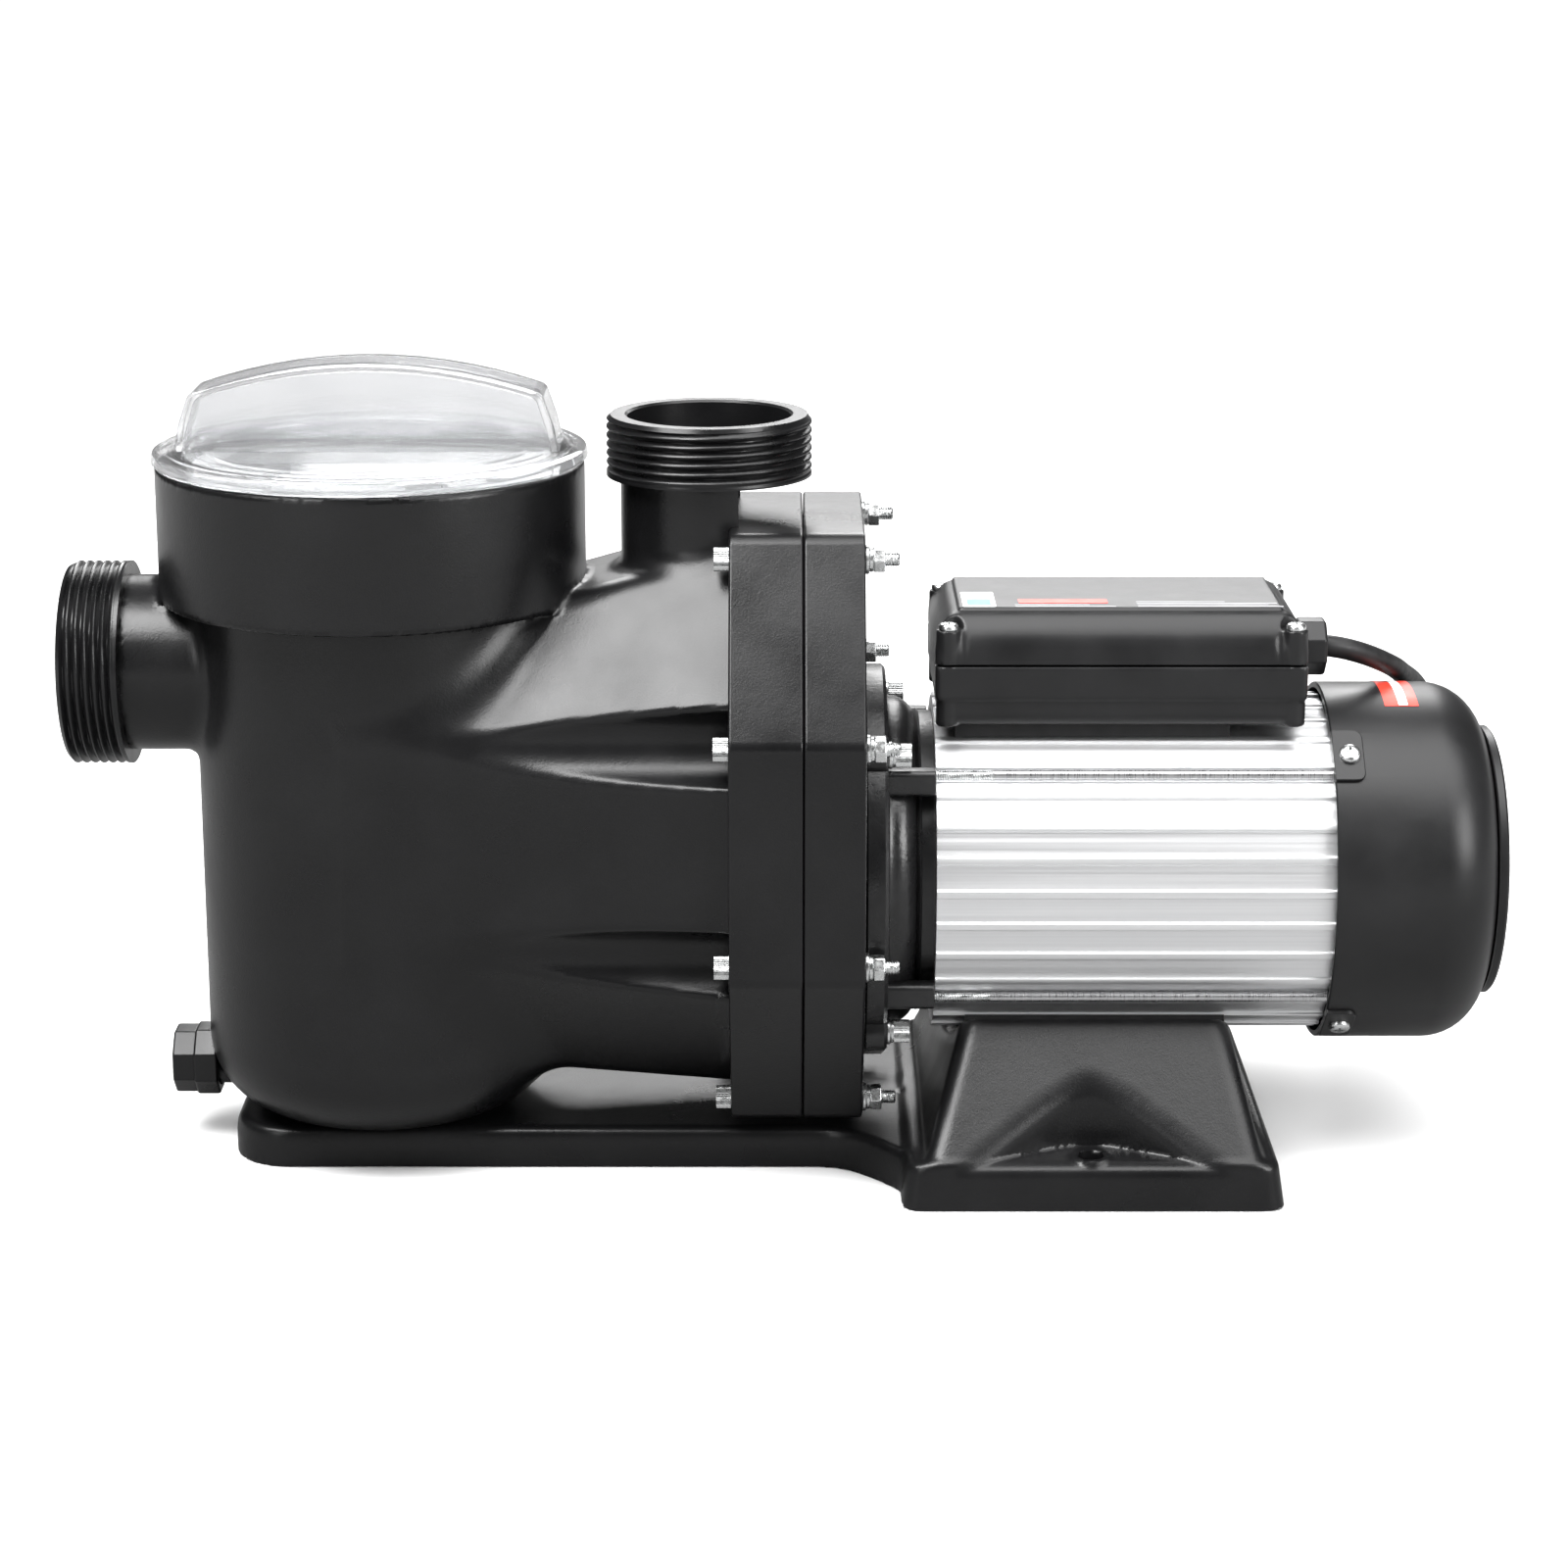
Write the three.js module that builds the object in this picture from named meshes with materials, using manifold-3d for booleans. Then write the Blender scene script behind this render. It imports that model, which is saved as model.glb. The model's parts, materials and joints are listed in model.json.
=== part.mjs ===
// Self-priming pool pump: strainer pot and volute in one moulding, clear lid, fan-cooled mains motor.
// Millimetres. +X runs from the pump to the motor fan, -X is the suction side, +Z is up, the floor is z = 0.
import * as THREE from 'three';
import { mergeVertices } from 'three/addons/utils/BufferGeometryUtils.js';
import Module from 'manifold-3d';

const wasm = await Module();
wasm.setup();

// ---------------------------------------------------------------- driving dimensions

const GAP = 0.3;                  // air left between pieces that touch
const AXIS_Z = 127;               // height of the shaft
const ROUND = 28;                 // facets of a large round
const INNER_ROUND = 20;           // facets of a round inside the casings
const SMALL_ROUND = 10;           // facets of a small round

const POT = {
  x: -177, radius: 77.5, wall: 5, floor: 18.3, inside: 24, cornerRadius: 34,
  coneFrom: 240, coneTo: 249, cupRadius: 91.6, cupInside: 86, ledge: 258, rim: 305,
};
const THREAD = { radius: 44, bore: 35, neck: 38, length: 26, chamfer: 2.2 };
const INLET = { z: 216, face: -308.5 };
const DISCHARGE = { x: -32, face: 324.8 };
const FLANGE = {                  // octagonal housing flange, and the seal plate bolted to it
  z: 152.8, halfHeight: 129.2, halfWidth: 103, topFlat: 51, sideFlat: 51,
  back: -23, parting: 8, front: 34,
};
const BOLTS = [[50.5, 118.7], [91, 47.1]];     // half spacings of the flange bolts in Y and Z
const VOLUTE = {                  // at the flange, and where the taper reaches the middle of the pot
  flangeEnd: { halfWidth: 95, up: 119.5, down: 117, topFlat: 38, sideFlat: 52 },
  potEnd: { halfWidth: 71.4, up: 76.3, down: 104.5, topFlat: 38, sideFlat: 44 },
};
const CHAMBER = { from: -94, halfWidth: 68, up: 92, down: 100, topFlat: 30, sideFlat: 40 };
const EYE = { radius: 27, snout: 26.2, bore: 20 };
const DRAIN = { z: 34.6, spigot: 11.3, bore: 6, cap: 17.6, capFrom: -271, capTo: -251, seat: -250.7 };

const HANDLE = { x: -175, half: 84, thick: 16.5, top: 348, shoulder: 336, wall: 3, arch: 72 };
const LID = { plate: 93, top: 310, skirtInside: 80, skirt: 84, skirtEnd: 264 };
const BASKET = {
  floor: 34, base: 52, top: 66, rim: 79, rimTop: 301.5, wall: 2, window: [-260, -200, 34, 186, 248],
};
const SEAL = {
  shaftBore: 15, seatPocket: 21.2, seatDepth: 11, ringInside: 3, ringOutside: 9, ringSpace: 0.3,
};
const SIDE_GROOVE = { y: 93, z: 48, radius: 16.3, tip: -145 };
const CLEARANCE_HOLE = 3.7;

const BRACKET = {
  from: 34.3, flangeTo: 44, radius: 85.9, bell: 72, bellTo: 57, neck: 65.5, to: 64.2, wall: 4.5, lobe: 8.5,
};
const MOTOR = {
  from: 64.5, to: 233.2, radius: 73.5, inside: 62, ribs: 32, ribHeight: 1.4, ribWidth: 2.6, ribPhase: 2.6,
};                                // rib width and phase in degrees round the shaft
const SADDLE = { halfWidth: 36, top: 197.4, from: 73, to: 190, thick: 1.5 };   // under the terminal box
const CORE = { from: 105, to: 195, inside: 36.3, outside: 61.2, rotor: 35.5 };
const COVER = {
  from: 232.5, shoulder: 304, to: 308.5, radius: 78, corner: 25, wall: 2.5, discRadius: 58.8, padLength: 13,
};
const FLANGE_SCREW = { radius: 84.5, angles: [47, 133, 225, 315] };
const TIE_ROD = { radius: 74, angles: [44.5, 135.5, 217, 323], thick: 2.5 };
const COVER_SCREW_ANGLES = [50, 130, 230, 310];

const BOX = {
  from: 64, to: 221.6, halfWidth: 46, bottom: 197.7, floor: 205.2, parting: 224.3, shelf: 239.4, top: 247,
  wall: 2.5, draft: 2, step: 11, post: 4.6,
};
const BOX_LID_PANEL = 32;         // half width of the raised top panel
const BOX_TONGUE = 17;            // half width of the raised part of the end wall that carries the gland
const BOX_SCREW = { xs: [69.5, 216.2], y: 40.5 };
const GLAND = { z: 223, radius: 14, thread: 9.8, face: 234.6 };

const BASE = {
  tongueEnd: -241.8, tongueTop: 18, tongueHalf: 47, endRadius: 26,
  footFrom: 49.8, footTo: 212.8, footHalf: 100, footTop: 20, draft: 3,
  saddleFrom: [60, 78], saddleTo: [203.6, 190], saddleHalf: [97, 50], saddleTop: 73,
};
const ANCHOR = { x: 130.5, y: 86.7, hole: 5.5, apexY: 71, halfSpan: 51 };
const PAD = { inside: 73.8, outside: 76.5, halfAngle: 40 };

const CORD = { diameter: 9.5, floor: 5 };      // floor: centre height of the cord where it lies down
const COIL = { x: 140, y: 167.5, inner: 36.5, outer: 65.8, height: 19.6 };
const PLUG = { x: 82, y: 228.2, length: 62, width: 34, height: 20 };

const COLORS = {
  blackPlastic: 0x1b1b1d, aluminium: 0xc9ccd0, zinc: 0xb9bcc0, rubber: 0x141414, clear: 0xdfe6ea,
  white: 0xe9ebea, steel: 0x9a9da1, copper: 0xb0672e, ceramic: 0xd8d4c8, castIron: 0x2a2b2d, beige: 0xcfc6ae,
};

// ---------------------------------------------------------------- solids from geometries

const radians = THREE.MathUtils.degToRad;

// Welds the corners, drops flat triangles and turns the faces outwards.
function welded(source) {
  const bare = source.clone();
  bare.deleteAttribute('normal');
  bare.deleteAttribute('uv');
  const geometry = mergeVertices(bare, 1e-4);
  const position = geometry.getAttribute('position');
  const corners = geometry.index.array;
  const kept = [];
  const [a, b, c] = [new THREE.Vector3(), new THREE.Vector3(), new THREE.Vector3()];
  let volume = 0;
  for (let i = 0; i < corners.length; i += 3) {
    const [p, q, r] = [corners[i], corners[i + 1], corners[i + 2]];
    if (p === q || q === r || r === p) continue;
    kept.push(p, q, r);
    a.fromBufferAttribute(position, p);
    b.fromBufferAttribute(position, q);
    c.fromBufferAttribute(position, r);
    volume += a.dot(b.cross(c));
  }
  geometry.setIndex(volume < 0 ? kept.reverse() : kept);
  return geometry;
}

function solid(geometry) {
  const closed = welded(geometry);
  return new wasm.Manifold(new wasm.Mesh({
    numProp: 3,
    vertProperties: new Float32Array(closed.getAttribute('position').array),
    triVerts: new Uint32Array(closed.index.array),
  }));
}

const join = (first, ...others) => others.reduce((sum, next) => sum.add(next), first);
const cut = (first, ...tools) => tools.reduce((rest, next) => rest.subtract(next), first);

function geometryOf(body) {
  const mesh = body.getMesh();
  const geometry = new THREE.BufferGeometry();
  geometry.setAttribute('position', new THREE.BufferAttribute(new Float32Array(mesh.vertProperties), 3));
  geometry.setIndex(new THREE.BufferAttribute(new Uint32Array(mesh.triVerts), 1));
  geometry.computeVertexNormals();
  return geometry;
}

// ---------------------------------------------------------------- shapes

// Columns are where the local x, y and z of a shape point. Each choice is a pure rotation.
const FRAMES = {
  x: new THREE.Matrix4().makeBasis(vector(0, 1, 0), vector(0, 0, 1), vector(1, 0, 0)),
  y: new THREE.Matrix4().makeBasis(vector(0, 0, 1), vector(1, 0, 0), vector(0, 1, 0)),
  z: new THREE.Matrix4(),
};

function vector(x, y, z) {
  return new THREE.Vector3(x, y, z);
}

// Turned shape: profile points are [radius, station along the axis], on a closed or axis-to-axis line.
function turned(profile, { axis = 'z', at = [0, 0, 0], facets = ROUND } = {}) {
  const geometry = new THREE.LatheGeometry(profile.map(([r, s]) => new THREE.Vector2(r, s)), facets);
  geometry.rotateX(Math.PI / 2).applyMatrix4(FRAMES[axis]).translate(...at);
  return solid(geometry);
}

// Plain round bar, from one station to another along the axis.
function bar(radius, from, to, options) {
  return turned([[0, from], [radius, from], [radius, to], [0, to]], options);
}

// Round tube or washer.
function ring(inner, outer, from, to, options) {
  return turned([[inner, from], [outer, from], [outer, to], [inner, to], [inner, from]], options);
}

// Straight prism on an outline: [y, z] pairs along x, [z, x] pairs along y, or [x, y] pairs along z.
function prism(outline, from, to, axis = 'z') {
  const shape = new THREE.Shape(outline.map(([u, v]) => new THREE.Vector2(u, v)));
  const geometry = new THREE.ExtrudeGeometry(shape, { depth: to - from, bevelEnabled: false });
  geometry.translate(0, 0, from).applyMatrix4(FRAMES[axis]);
  return solid(geometry);
}

function block(low, high) {
  const size = high.map((value, i) => value - low[i]);
  const geometry = new THREE.BoxGeometry(...size);
  return solid(geometry.translate(...low.map((value, i) => value + size[i] / 2)));
}

// Skin through matching outlines, each a list of [x, y, z], capped by fans at both ends.
function lofted(outlines) {
  const count = outlines[0].length;
  const points = outlines.flat();
  const faces = [];
  for (let s = 0; s + 1 < outlines.length; s += 1) {
    for (let i = 0; i < count; i += 1) {
      const [a, b] = [s * count + i, s * count + (i + 1) % count];
      faces.push(a, b, b + count, a, b + count, a + count);
    }
  }
  const last = (outlines.length - 1) * count;
  for (let i = 1; i + 1 < count; i += 1) {
    faces.push(0, i + 1, i, last, last + i, last + i + 1);
  }
  const geometry = new THREE.BufferGeometry();
  geometry.setAttribute('position', new THREE.Float32BufferAttribute(points.flat(), 3));
  geometry.setIndex(faces);
  return solid(geometry);
}

// Points of an arc in the profile plane, centre and radius given, from one angle to another in degrees.
function arc(centreU, centreV, radius, fromDegrees, toDegrees, steps) {
  return Array.from({ length: steps + 1 }, (_, i) => {
    const angle = radians(fromDegrees + (toDegrees - fromDegrees) * i / steps);
    return [centreU + radius * Math.cos(angle), centreV + radius * Math.sin(angle)];
  });
}

// Octagon with flat top, bottom and sides, as [y, z] pairs round the centre height.
function octagon({ halfWidth, up, down, topFlat, sideFlat }, z) {
  return [
    [halfWidth, z - sideFlat], [halfWidth, z + sideFlat], [topFlat, z + up], [-topFlat, z + up],
    [-halfWidth, z + sideFlat], [-halfWidth, z - sideFlat], [-topFlat, z - down], [topFlat, z - down],
  ];
}

// The octagon moved outwards by a margin on every side.
function grown(shape, margin) {
  const corner = margin * 0.45;
  return {
    halfWidth: shape.halfWidth + margin, up: shape.up + margin, down: shape.down + margin,
    topFlat: shape.topFlat + corner, sideFlat: shape.sideFlat + corner,
  };
}

// Regular polygon for hexagon nuts and ribbed caps, as [u, v] pairs.
function polygon(radius, sides, turn = 0) {
  return Array.from({ length: sides }, (_, i) => {
    const angle = turn + 2 * Math.PI * i / sides;
    return [radius * Math.cos(angle), radius * Math.sin(angle)];
  });
}

// A polygon prism along x, centred on [y, z].
function polygonAlongX(radius, sides, from, to, [y, z], turn = 0) {
  return prism(polygon(radius, sides, turn).map(([u, v]) => [u + y, v + z]), from, to, 'x');
}

// Place at a radius and an angle round the shaft, as [y, z].
function roundShaft(radius, degrees) {
  return [-radius * Math.cos(radians(degrees)), AXIS_Z + radius * Math.sin(radians(degrees))];
}

const onShaft = (facets = ROUND) => ({ axis: 'x', at: [0, 0, AXIS_Z], facets });
const flangeOctagon = {
  halfWidth: FLANGE.halfWidth, up: FLANGE.halfHeight, down: FLANGE.halfHeight,
  topFlat: FLANGE.topFlat, sideFlat: FLANGE.sideFlat,
};
const boltPlaces = BOLTS.flatMap(([y, z]) => [-1, 1].flatMap((side) => (
  [1, -1].map((level) => [side * y, FLANGE.z + level * z]))));

// ---------------------------------------------------------------- pump

function potProfile(radius, floor, corner, top) {
  return [
    [0, floor], ...arc(radius - corner, floor + corner, corner, -90, 0, 5), ...top, [0, top.at(-1)[1]],
  ];
}

function potOutside() {
  return turned(potProfile(POT.radius, POT.floor, POT.cornerRadius, [
    [POT.radius, POT.coneFrom], [POT.cupRadius, POT.coneTo], [POT.cupRadius, POT.rim],
  ]), { at: [POT.x, 0, 0] });
}

function potInside() {
  const radius = POT.radius - POT.wall;
  return turned(potProfile(radius, POT.inside, POT.cornerRadius - POT.wall, [
    [radius, POT.ledge], [POT.cupInside, POT.ledge], [POT.cupInside, POT.rim + 1],
  ]), { at: [POT.x, 0, 0] });
}

// Threaded stub: neck, plain thread envelope with a chamfered mouth. The face is at the far station.
function stub(root, face, direction, options) {
  const start = face - direction * THREAD.length;
  const { radius, neck, chamfer } = THREAD;
  return turned([
    [0, root], [neck, root], [neck, start], [radius, start], [radius, face - direction * 2 * chamfer],
    [radius - chamfer, face], [0, face],
  ], options);
}

// The volute tapers from the flange into the side of the pot.
function voluteOutside() {
  const section = (x, size) => octagon(size, FLANGE.z).map(([y, z]) => [x, y, z]);
  return lofted([section(POT.x, VOLUTE.potEnd), section(FLANGE.back + 1, VOLUTE.flangeEnd)]);
}

// Groove that clears the head of a side bolt and runs out where the volute tapers away.
function boltGroove(side, level) {
  return bar(SIDE_GROOVE.radius, SIDE_GROOVE.tip, FLANGE.back - GAP, {
    axis: 'x', at: [0, side * SIDE_GROOVE.y, FLANGE.z + level * SIDE_GROOVE.z], facets: INNER_ROUND,
  });
}

function boltHoles(from, to) {
  return boltPlaces.map(([y, z]) => bar(CLEARANCE_HOLE, from, to, {
    axis: 'x', at: [0, y, z], facets: 6,
  }));
}

function pumpHousing() {
  const inletAxis = { axis: 'x', at: [0, 0, INLET.z] };
  const dischargeAxis = { at: [DISCHARGE.x, 0, 0] };
  const drainAxis = { axis: 'x', at: [0, 0, DRAIN.z], facets: SMALL_ROUND };
  const drainFlat = bar(DRAIN.cap + 1, DRAIN.capFrom, DRAIN.seat, drainAxis);
  const outside = join(
    cut(potOutside(), drainFlat),
    voluteOutside(),
    stub(POT.x, INLET.face, -1, inletAxis),
    stub(FLANGE.z, DISCHARGE.face, 1, dischargeAxis),
    prism(octagon(flangeOctagon, FLANGE.z), FLANGE.back, FLANGE.parting, 'x'),
    bar(DRAIN.spigot, DRAIN.capTo - 6, POT.x, drainAxis),
  );
  const drainBoss = bar(DRAIN.cap + 3, DRAIN.seat, DRAIN.seat + 9, drainAxis);
  return cut(
    join(cut(outside, potInside()), drainBoss.intersect(potOutside())),
    bar(THREAD.bore, INLET.face - 1, POT.x, inletAxis),
    bar(THREAD.bore, FLANGE.z, DISCHARGE.face + 1, dischargeAxis),
    prism(octagon(CHAMBER, FLANGE.z), CHAMBER.from, FLANGE.parting + 1, 'x'),
    bar(EYE.radius, POT.x, CHAMBER.from + 1, onShaft(INNER_ROUND)),
    bar(DRAIN.bore, DRAIN.capTo - 7, POT.x, drainAxis),
    ...[-1, 1].flatMap((side) => [boltGroove(side, 1), boltGroove(side, -1)]),
    ...boltHoles(FLANGE.back - 1, FLANGE.parting + 1),
  );
}

function sealPlate() {
  const from = FLANGE.parting + GAP;
  const { shaftBore, seatPocket, seatDepth, ringInside, ringOutside, ringSpace } = SEAL;
  const outer = grown(CHAMBER, ringOutside + ringSpace);
  const inner = grown(CHAMBER, ringInside - ringSpace);
  const groove = cut(
    prism(octagon(outer, FLANGE.z), from - 1, from + 4.3, 'x'),
    prism(octagon(inner, FLANGE.z), from - 2, from + 5, 'x'),
  );
  return cut(
    prism(octagon(flangeOctagon, FLANGE.z), from, FLANGE.front, 'x'),
    groove,
    bar(shaftBore, from - 1, FLANGE.front + 1, onShaft(INNER_ROUND)),
    bar(seatPocket, from - 1, from + seatDepth, onShaft(INNER_ROUND)),
    ...boltHoles(from - 1, FLANGE.front + 1),
    ...FLANGE_SCREW.angles.map((angle) => {
      const [y, z] = roundShaft(FLANGE_SCREW.radius, angle);
      return bar(3.6, 18, FLANGE.front + 1, { axis: 'x', at: [0, y, z], facets: 6 });
    }),
  );
}

function housingSeal() {
  const [from, to] = [FLANGE.parting + GAP, FLANGE.parting + 4.3];
  return cut(
    prism(octagon(grown(CHAMBER, SEAL.ringOutside), FLANGE.z), from, to, 'x'),
    prism(octagon(grown(CHAMBER, SEAL.ringInside), FLANGE.z), from - 1, to + 1, 'x'),
  );
}

// Cap screw, washers and nut of one flange bolt, joined because they are clamped together.
function housingBolt(spot) {
  const back = FLANGE.back - GAP;
  const front = FLANGE.front + GAP;
  return turned([
    [0, back - 6], [5, back - 6], [5, back], [3, back], [3, front], [6.2, front], [6.2, front + 3],
    [5.6, front + 3], [5.6, front + 8], [3, front + 8], [3, front + 14], [0, front + 14],
  ], { axis: 'x', at: [0, ...spot], facets: 6 });
}

function diffuser() {
  const wall = 2.6;
  return turned([
    [EYE.bore, -103], [EYE.snout, -103], [EYE.snout, -64], [61, -46], [61, 4], [61 - wall, 4],
    [61 - wall, -45], [EYE.bore, -60], [EYE.bore, -103],
  ], onShaft(INNER_ROUND));
}

function impeller() {
  return turned([
    [9.2, -46], [11, -46], [13, -36], [52, -30], [54, -20], [54, -14], [14, -14], [14, -6], [9.2, -6],
    [9.2, -46],
  ], onShaft(INNER_ROUND));
}

function lidSeal() {
  return ring(79.5, 84.5, POT.ledge + GAP, 263.7, { at: [POT.x, 0, 0] });
}

// Bar handle: an arched top over sloping sides, as an outline in [z, x] run across the lid.
function handleOutline(inset) {
  const half = HANDLE.half - inset;
  const sag = HANDLE.top - HANDLE.shoulder;
  const crown = (x) => HANDLE.top - inset - sag * (x / HANDLE.arch) ** 2;
  const tops = [-70, -50, -25, 0, 25, 50, 70].map((x) => x * (half / HANDLE.half));
  const [low, bend] = [300, 327 - inset];
  return [
    [low, HANDLE.x - half], [low, HANDLE.x + half], [bend, HANDLE.x + half - 4],
    ...tops.reverse().map((x) => [crown(x), HANDLE.x + x]), [bend, HANDLE.x - half + 4],
  ];
}

function handleBody(inset, low) {
  const thick = HANDLE.thick - inset;
  return cut(
    prism(handleOutline(inset), -thick, thick, 'y'),
    block([-300, -50, 290], [-60, 50, low]),
  );
}

function strainerLid() {
  const { plate, top, skirtInside, skirt, skirtEnd } = LID;
  const deck = POT.rim + GAP;
  const shell = turned([
    [0, deck], [skirtInside, deck], [skirtInside, skirtEnd], [skirt, skirtEnd], [skirt, deck], [plate, deck],
    [plate, top], [plate - 1, top + 1], [0, top + 1],
  ], { at: [POT.x, 0, 0] });
  return cut(join(shell, handleBody(0, deck)), handleBody(HANDLE.wall, deck - 2));
}

// Tapered cup hung inside a collar that stands on the ledge of the pot.
function strainerBasket() {
  const { floor, base: foot, top, rim, rimTop, wall, window } = BASKET;
  const [seat, flange] = [POT.ledge + GAP, rimTop - wall - 1];
  const cup = turned([
    [0, floor], [foot, floor], [top, flange], [rim - wall, flange], [rim - wall, seat], [rim, seat],
    [rim, rimTop], [top - wall, rimTop], [foot - wall, floor + wall + 0.5], [0, floor + wall + 0.5],
  ], { at: [POT.x, 0, 0] });
  const [x0, x1, half, low, high] = window;
  return cut(cup, block([x0, -half, low], [x1, half, high]));
}

function drainCap() {
  const at = [0, DRAIN.z];
  const skirt = polygonAlongX(DRAIN.cap, 8, DRAIN.capFrom, DRAIN.capTo, at, Math.PI / 8);
  return cut(skirt, bar(DRAIN.spigot + 1, DRAIN.capTo - 9, DRAIN.capTo + 1, {
    axis: 'x', at: [0, 0, DRAIN.z], facets: SMALL_ROUND,
  }));
}

function drainGasket() {
  return ring(DRAIN.bore + 1, DRAIN.spigot - 0.5, DRAIN.capTo - 8.6, DRAIN.capTo - 6.4, {
    axis: 'x', at: [0, 0, DRAIN.z], facets: SMALL_ROUND,
  });
}

// ---------------------------------------------------------------- motor

function frontBracket() {
  const { from, flangeTo, to, bell, bellTo, neck, radius, wall } = BRACKET;
  const shell = turned([
    [11, from], [radius, from], [radius, flangeTo], [bell, flangeTo], ...arc(bell - 10, bellTo - 10, 10, 0, 60, 3),
    [neck, bellTo], [neck, to], [neck - wall, to], [neck - wall, flangeTo + 1], [29, flangeTo + 1], [29, 57],
    [23.8, 57], [23.8, 41], [11, 41], [11, from],
  ], onShaft());
  const lobes = FLANGE_SCREW.angles.map((angle) => bar(BRACKET.lobe, from, flangeTo, {
    axis: 'x', at: [0, ...roundShaft(FLANGE_SCREW.radius, angle)], facets: SMALL_ROUND,
  }));
  const ears = TIE_ROD.angles.map((angle) => bar(6, flangeTo - 1, to, {
    axis: 'x', at: [0, ...roundShaft(TIE_ROD.radius - 3, angle)], facets: SMALL_ROUND,
  }));
  return cut(
    join(shell, ...lobes, ...ears),
    bar(neck - wall, flangeTo + 1, to + 1, onShaft()).subtract(bar(29, flangeTo, 57, onShaft())),
    ...FLANGE_SCREW.angles.map((angle) => bar(3.6, from - 1, flangeTo + 1, {
      axis: 'x', at: [0, ...roundShaft(FLANGE_SCREW.radius, angle)], facets: 6,
    })),
  );
}

// Finned extrusion with four open grooves for the tie rods.
function motorFrame() {
  const { from, to, radius, inside, ribs, ribHeight, ribWidth, ribPhase } = MOTOR;
  const low = radius - ribHeight;
  const slope = 0.2;
  const outline = Array.from({ length: ribs }, (_, i) => {
    const start = ribPhase + 360 * i / ribs;
    const end = start + ribWidth;
    return [[low, start - slope], [radius, start], [radius, end], [low, end + slope]].map(([r, degrees]) => (
      roundShaft(r, degrees)));
  }).flat();
  const grooves = TIE_ROD.angles.map((angle) => bar(4, from - 1, to + 1, {
    axis: 'x', at: [0, ...roundShaft(TIE_ROD.radius, angle)], facets: SMALL_ROUND,
  }));
  return cut(
    prism(outline, from, to, 'x'),
    bar(inside, from - 1, to + 1, onShaft()),
    ...grooves,
  );
}

function winding(from, to) {
  return turned([
    [42, from], [56, from], [58, (from + to) / 2], [55, to], [44, to], [41, (from + to) / 2], [42, from],
  ], onShaft(INNER_ROUND));
}

function rearBracket() {
  const from = MOTOR.to + GAP;
  const [disc, back, boss] = [from + 4, from + 10, from + 24];
  return turned([
    [12.6, disc], [12.6, back], [20.3, back], [20.3, boss], [26, boss], [26, back], [72.6, back],
    [72.6, from], [66, from], [66, disc], [12.6, disc],
  ], onShaft());
}

function bearing(bore, outside, from, to) {
  return ring(bore, outside, from, to, onShaft(INNER_ROUND));
}

function fanCover() {
  const { from, shoulder, to, radius, corner, wall, discRadius, padLength } = COVER;
  const outside = turned([
    [0, from], [radius, from], ...arc(radius - corner, shoulder - corner, corner, 0, 90, 4),
    [discRadius - 4, shoulder], [discRadius, shoulder], [discRadius, to], [0, to],
  ], onShaft());
  const inner = radius - wall;
  const inside = turned([
    [0, from - 1], [inner, from - 1],
    ...arc(inner - corner + wall, shoulder - corner, corner - wall, 0, 90, 4),
    [0, shoulder - wall],
  ], onShaft());
  const pads = COVER_SCREW_ANGLES.map((angle) => {
    const [y, z] = roundShaft(radius - 4, angle);
    const pad = solid(new THREE.BoxGeometry(padLength, 8, 26).rotateX(radians(180 - angle))
      .translate(from + padLength / 2, y, z));
    return pad.subtract(bar(inner, from - 1, from + padLength + 1, onShaft()));
  });
  const rows = [-36, -24, -12, 0, 12, 24, 36];
  const openings = rows.flatMap((row) => [-1, 1].map((side) => {
    const reach = Math.sqrt((discRadius - 8) ** 2 - row ** 2);
    const [near, far] = [Math.min(4 * side, reach * side), Math.max(4 * side, reach * side)];
    return block([shoulder - 5, near, AXIS_Z + row - 3], [to + 1, far, AXIS_Z + row + 3]);
  }));
  return cut(join(outside, ...pads), inside, ...openings);
}

function coolingFan() {
  const hub = turned([
    [7.9, 266], [16, 266], [16, 270], [60, 270], [60, 272.5], [16, 272.5], [16, 286], [7.9, 286], [7.9, 266],
  ], onShaft(INNER_ROUND));
  const blades = Array.from({ length: 7 }, (_, i) => solid(new THREE.BoxGeometry(14, 2.4, 44)
    .translate(0, 0, 37).rotateX(radians(360 * i / 7)).translate(279, 0, AXIS_Z)));
  return join(hub, ...blades);
}

function shaft() {
  return turned([
    [0, -50], [8.8, -50], [8.8, 18], [9.8, 18], [9.8, 57], [12, 57], [12, 240], [8.25, 240], [8.25, 262],
    [7.5, 262], [7.5, 288], [0, 288],
  ], onShaft(INNER_ROUND));
}

function tieRod(angle) {
  const axis = { axis: 'x', at: [0, ...roundShaft(TIE_ROD.radius, angle)], facets: 8 };
  return bar(TIE_ROD.thick, BRACKET.to + GAP, COVER.from - GAP, axis);
}

function flangeScrew(angle) {
  const seat = BRACKET.flangeTo + GAP;
  const axis = { axis: 'x', at: [0, ...roundShaft(FLANGE_SCREW.radius, angle)], facets: 8 };
  return join(
    bar(2.9, 20, seat + 1, axis), bar(5.8, seat, seat + 3.4, axis), bar(5, seat + 3, seat + 9.4, axis),
  );
}

// Pan-head screw whose axis points at the shaft, through the pad of the fan cover.
function coverScrew(angle) {
  const head = new THREE.CylinderGeometry(4.2, 4.8, 2.6, 12);
  head.rotateX(Math.PI / 2).translate(COVER.from + 7, 0, COVER.radius + 1.6);
  head.rotateX(radians(90 - angle)).translate(0, 0, AXIS_Z);
  return solid(head);
}

// ---------------------------------------------------------------- terminal box and cord

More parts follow.
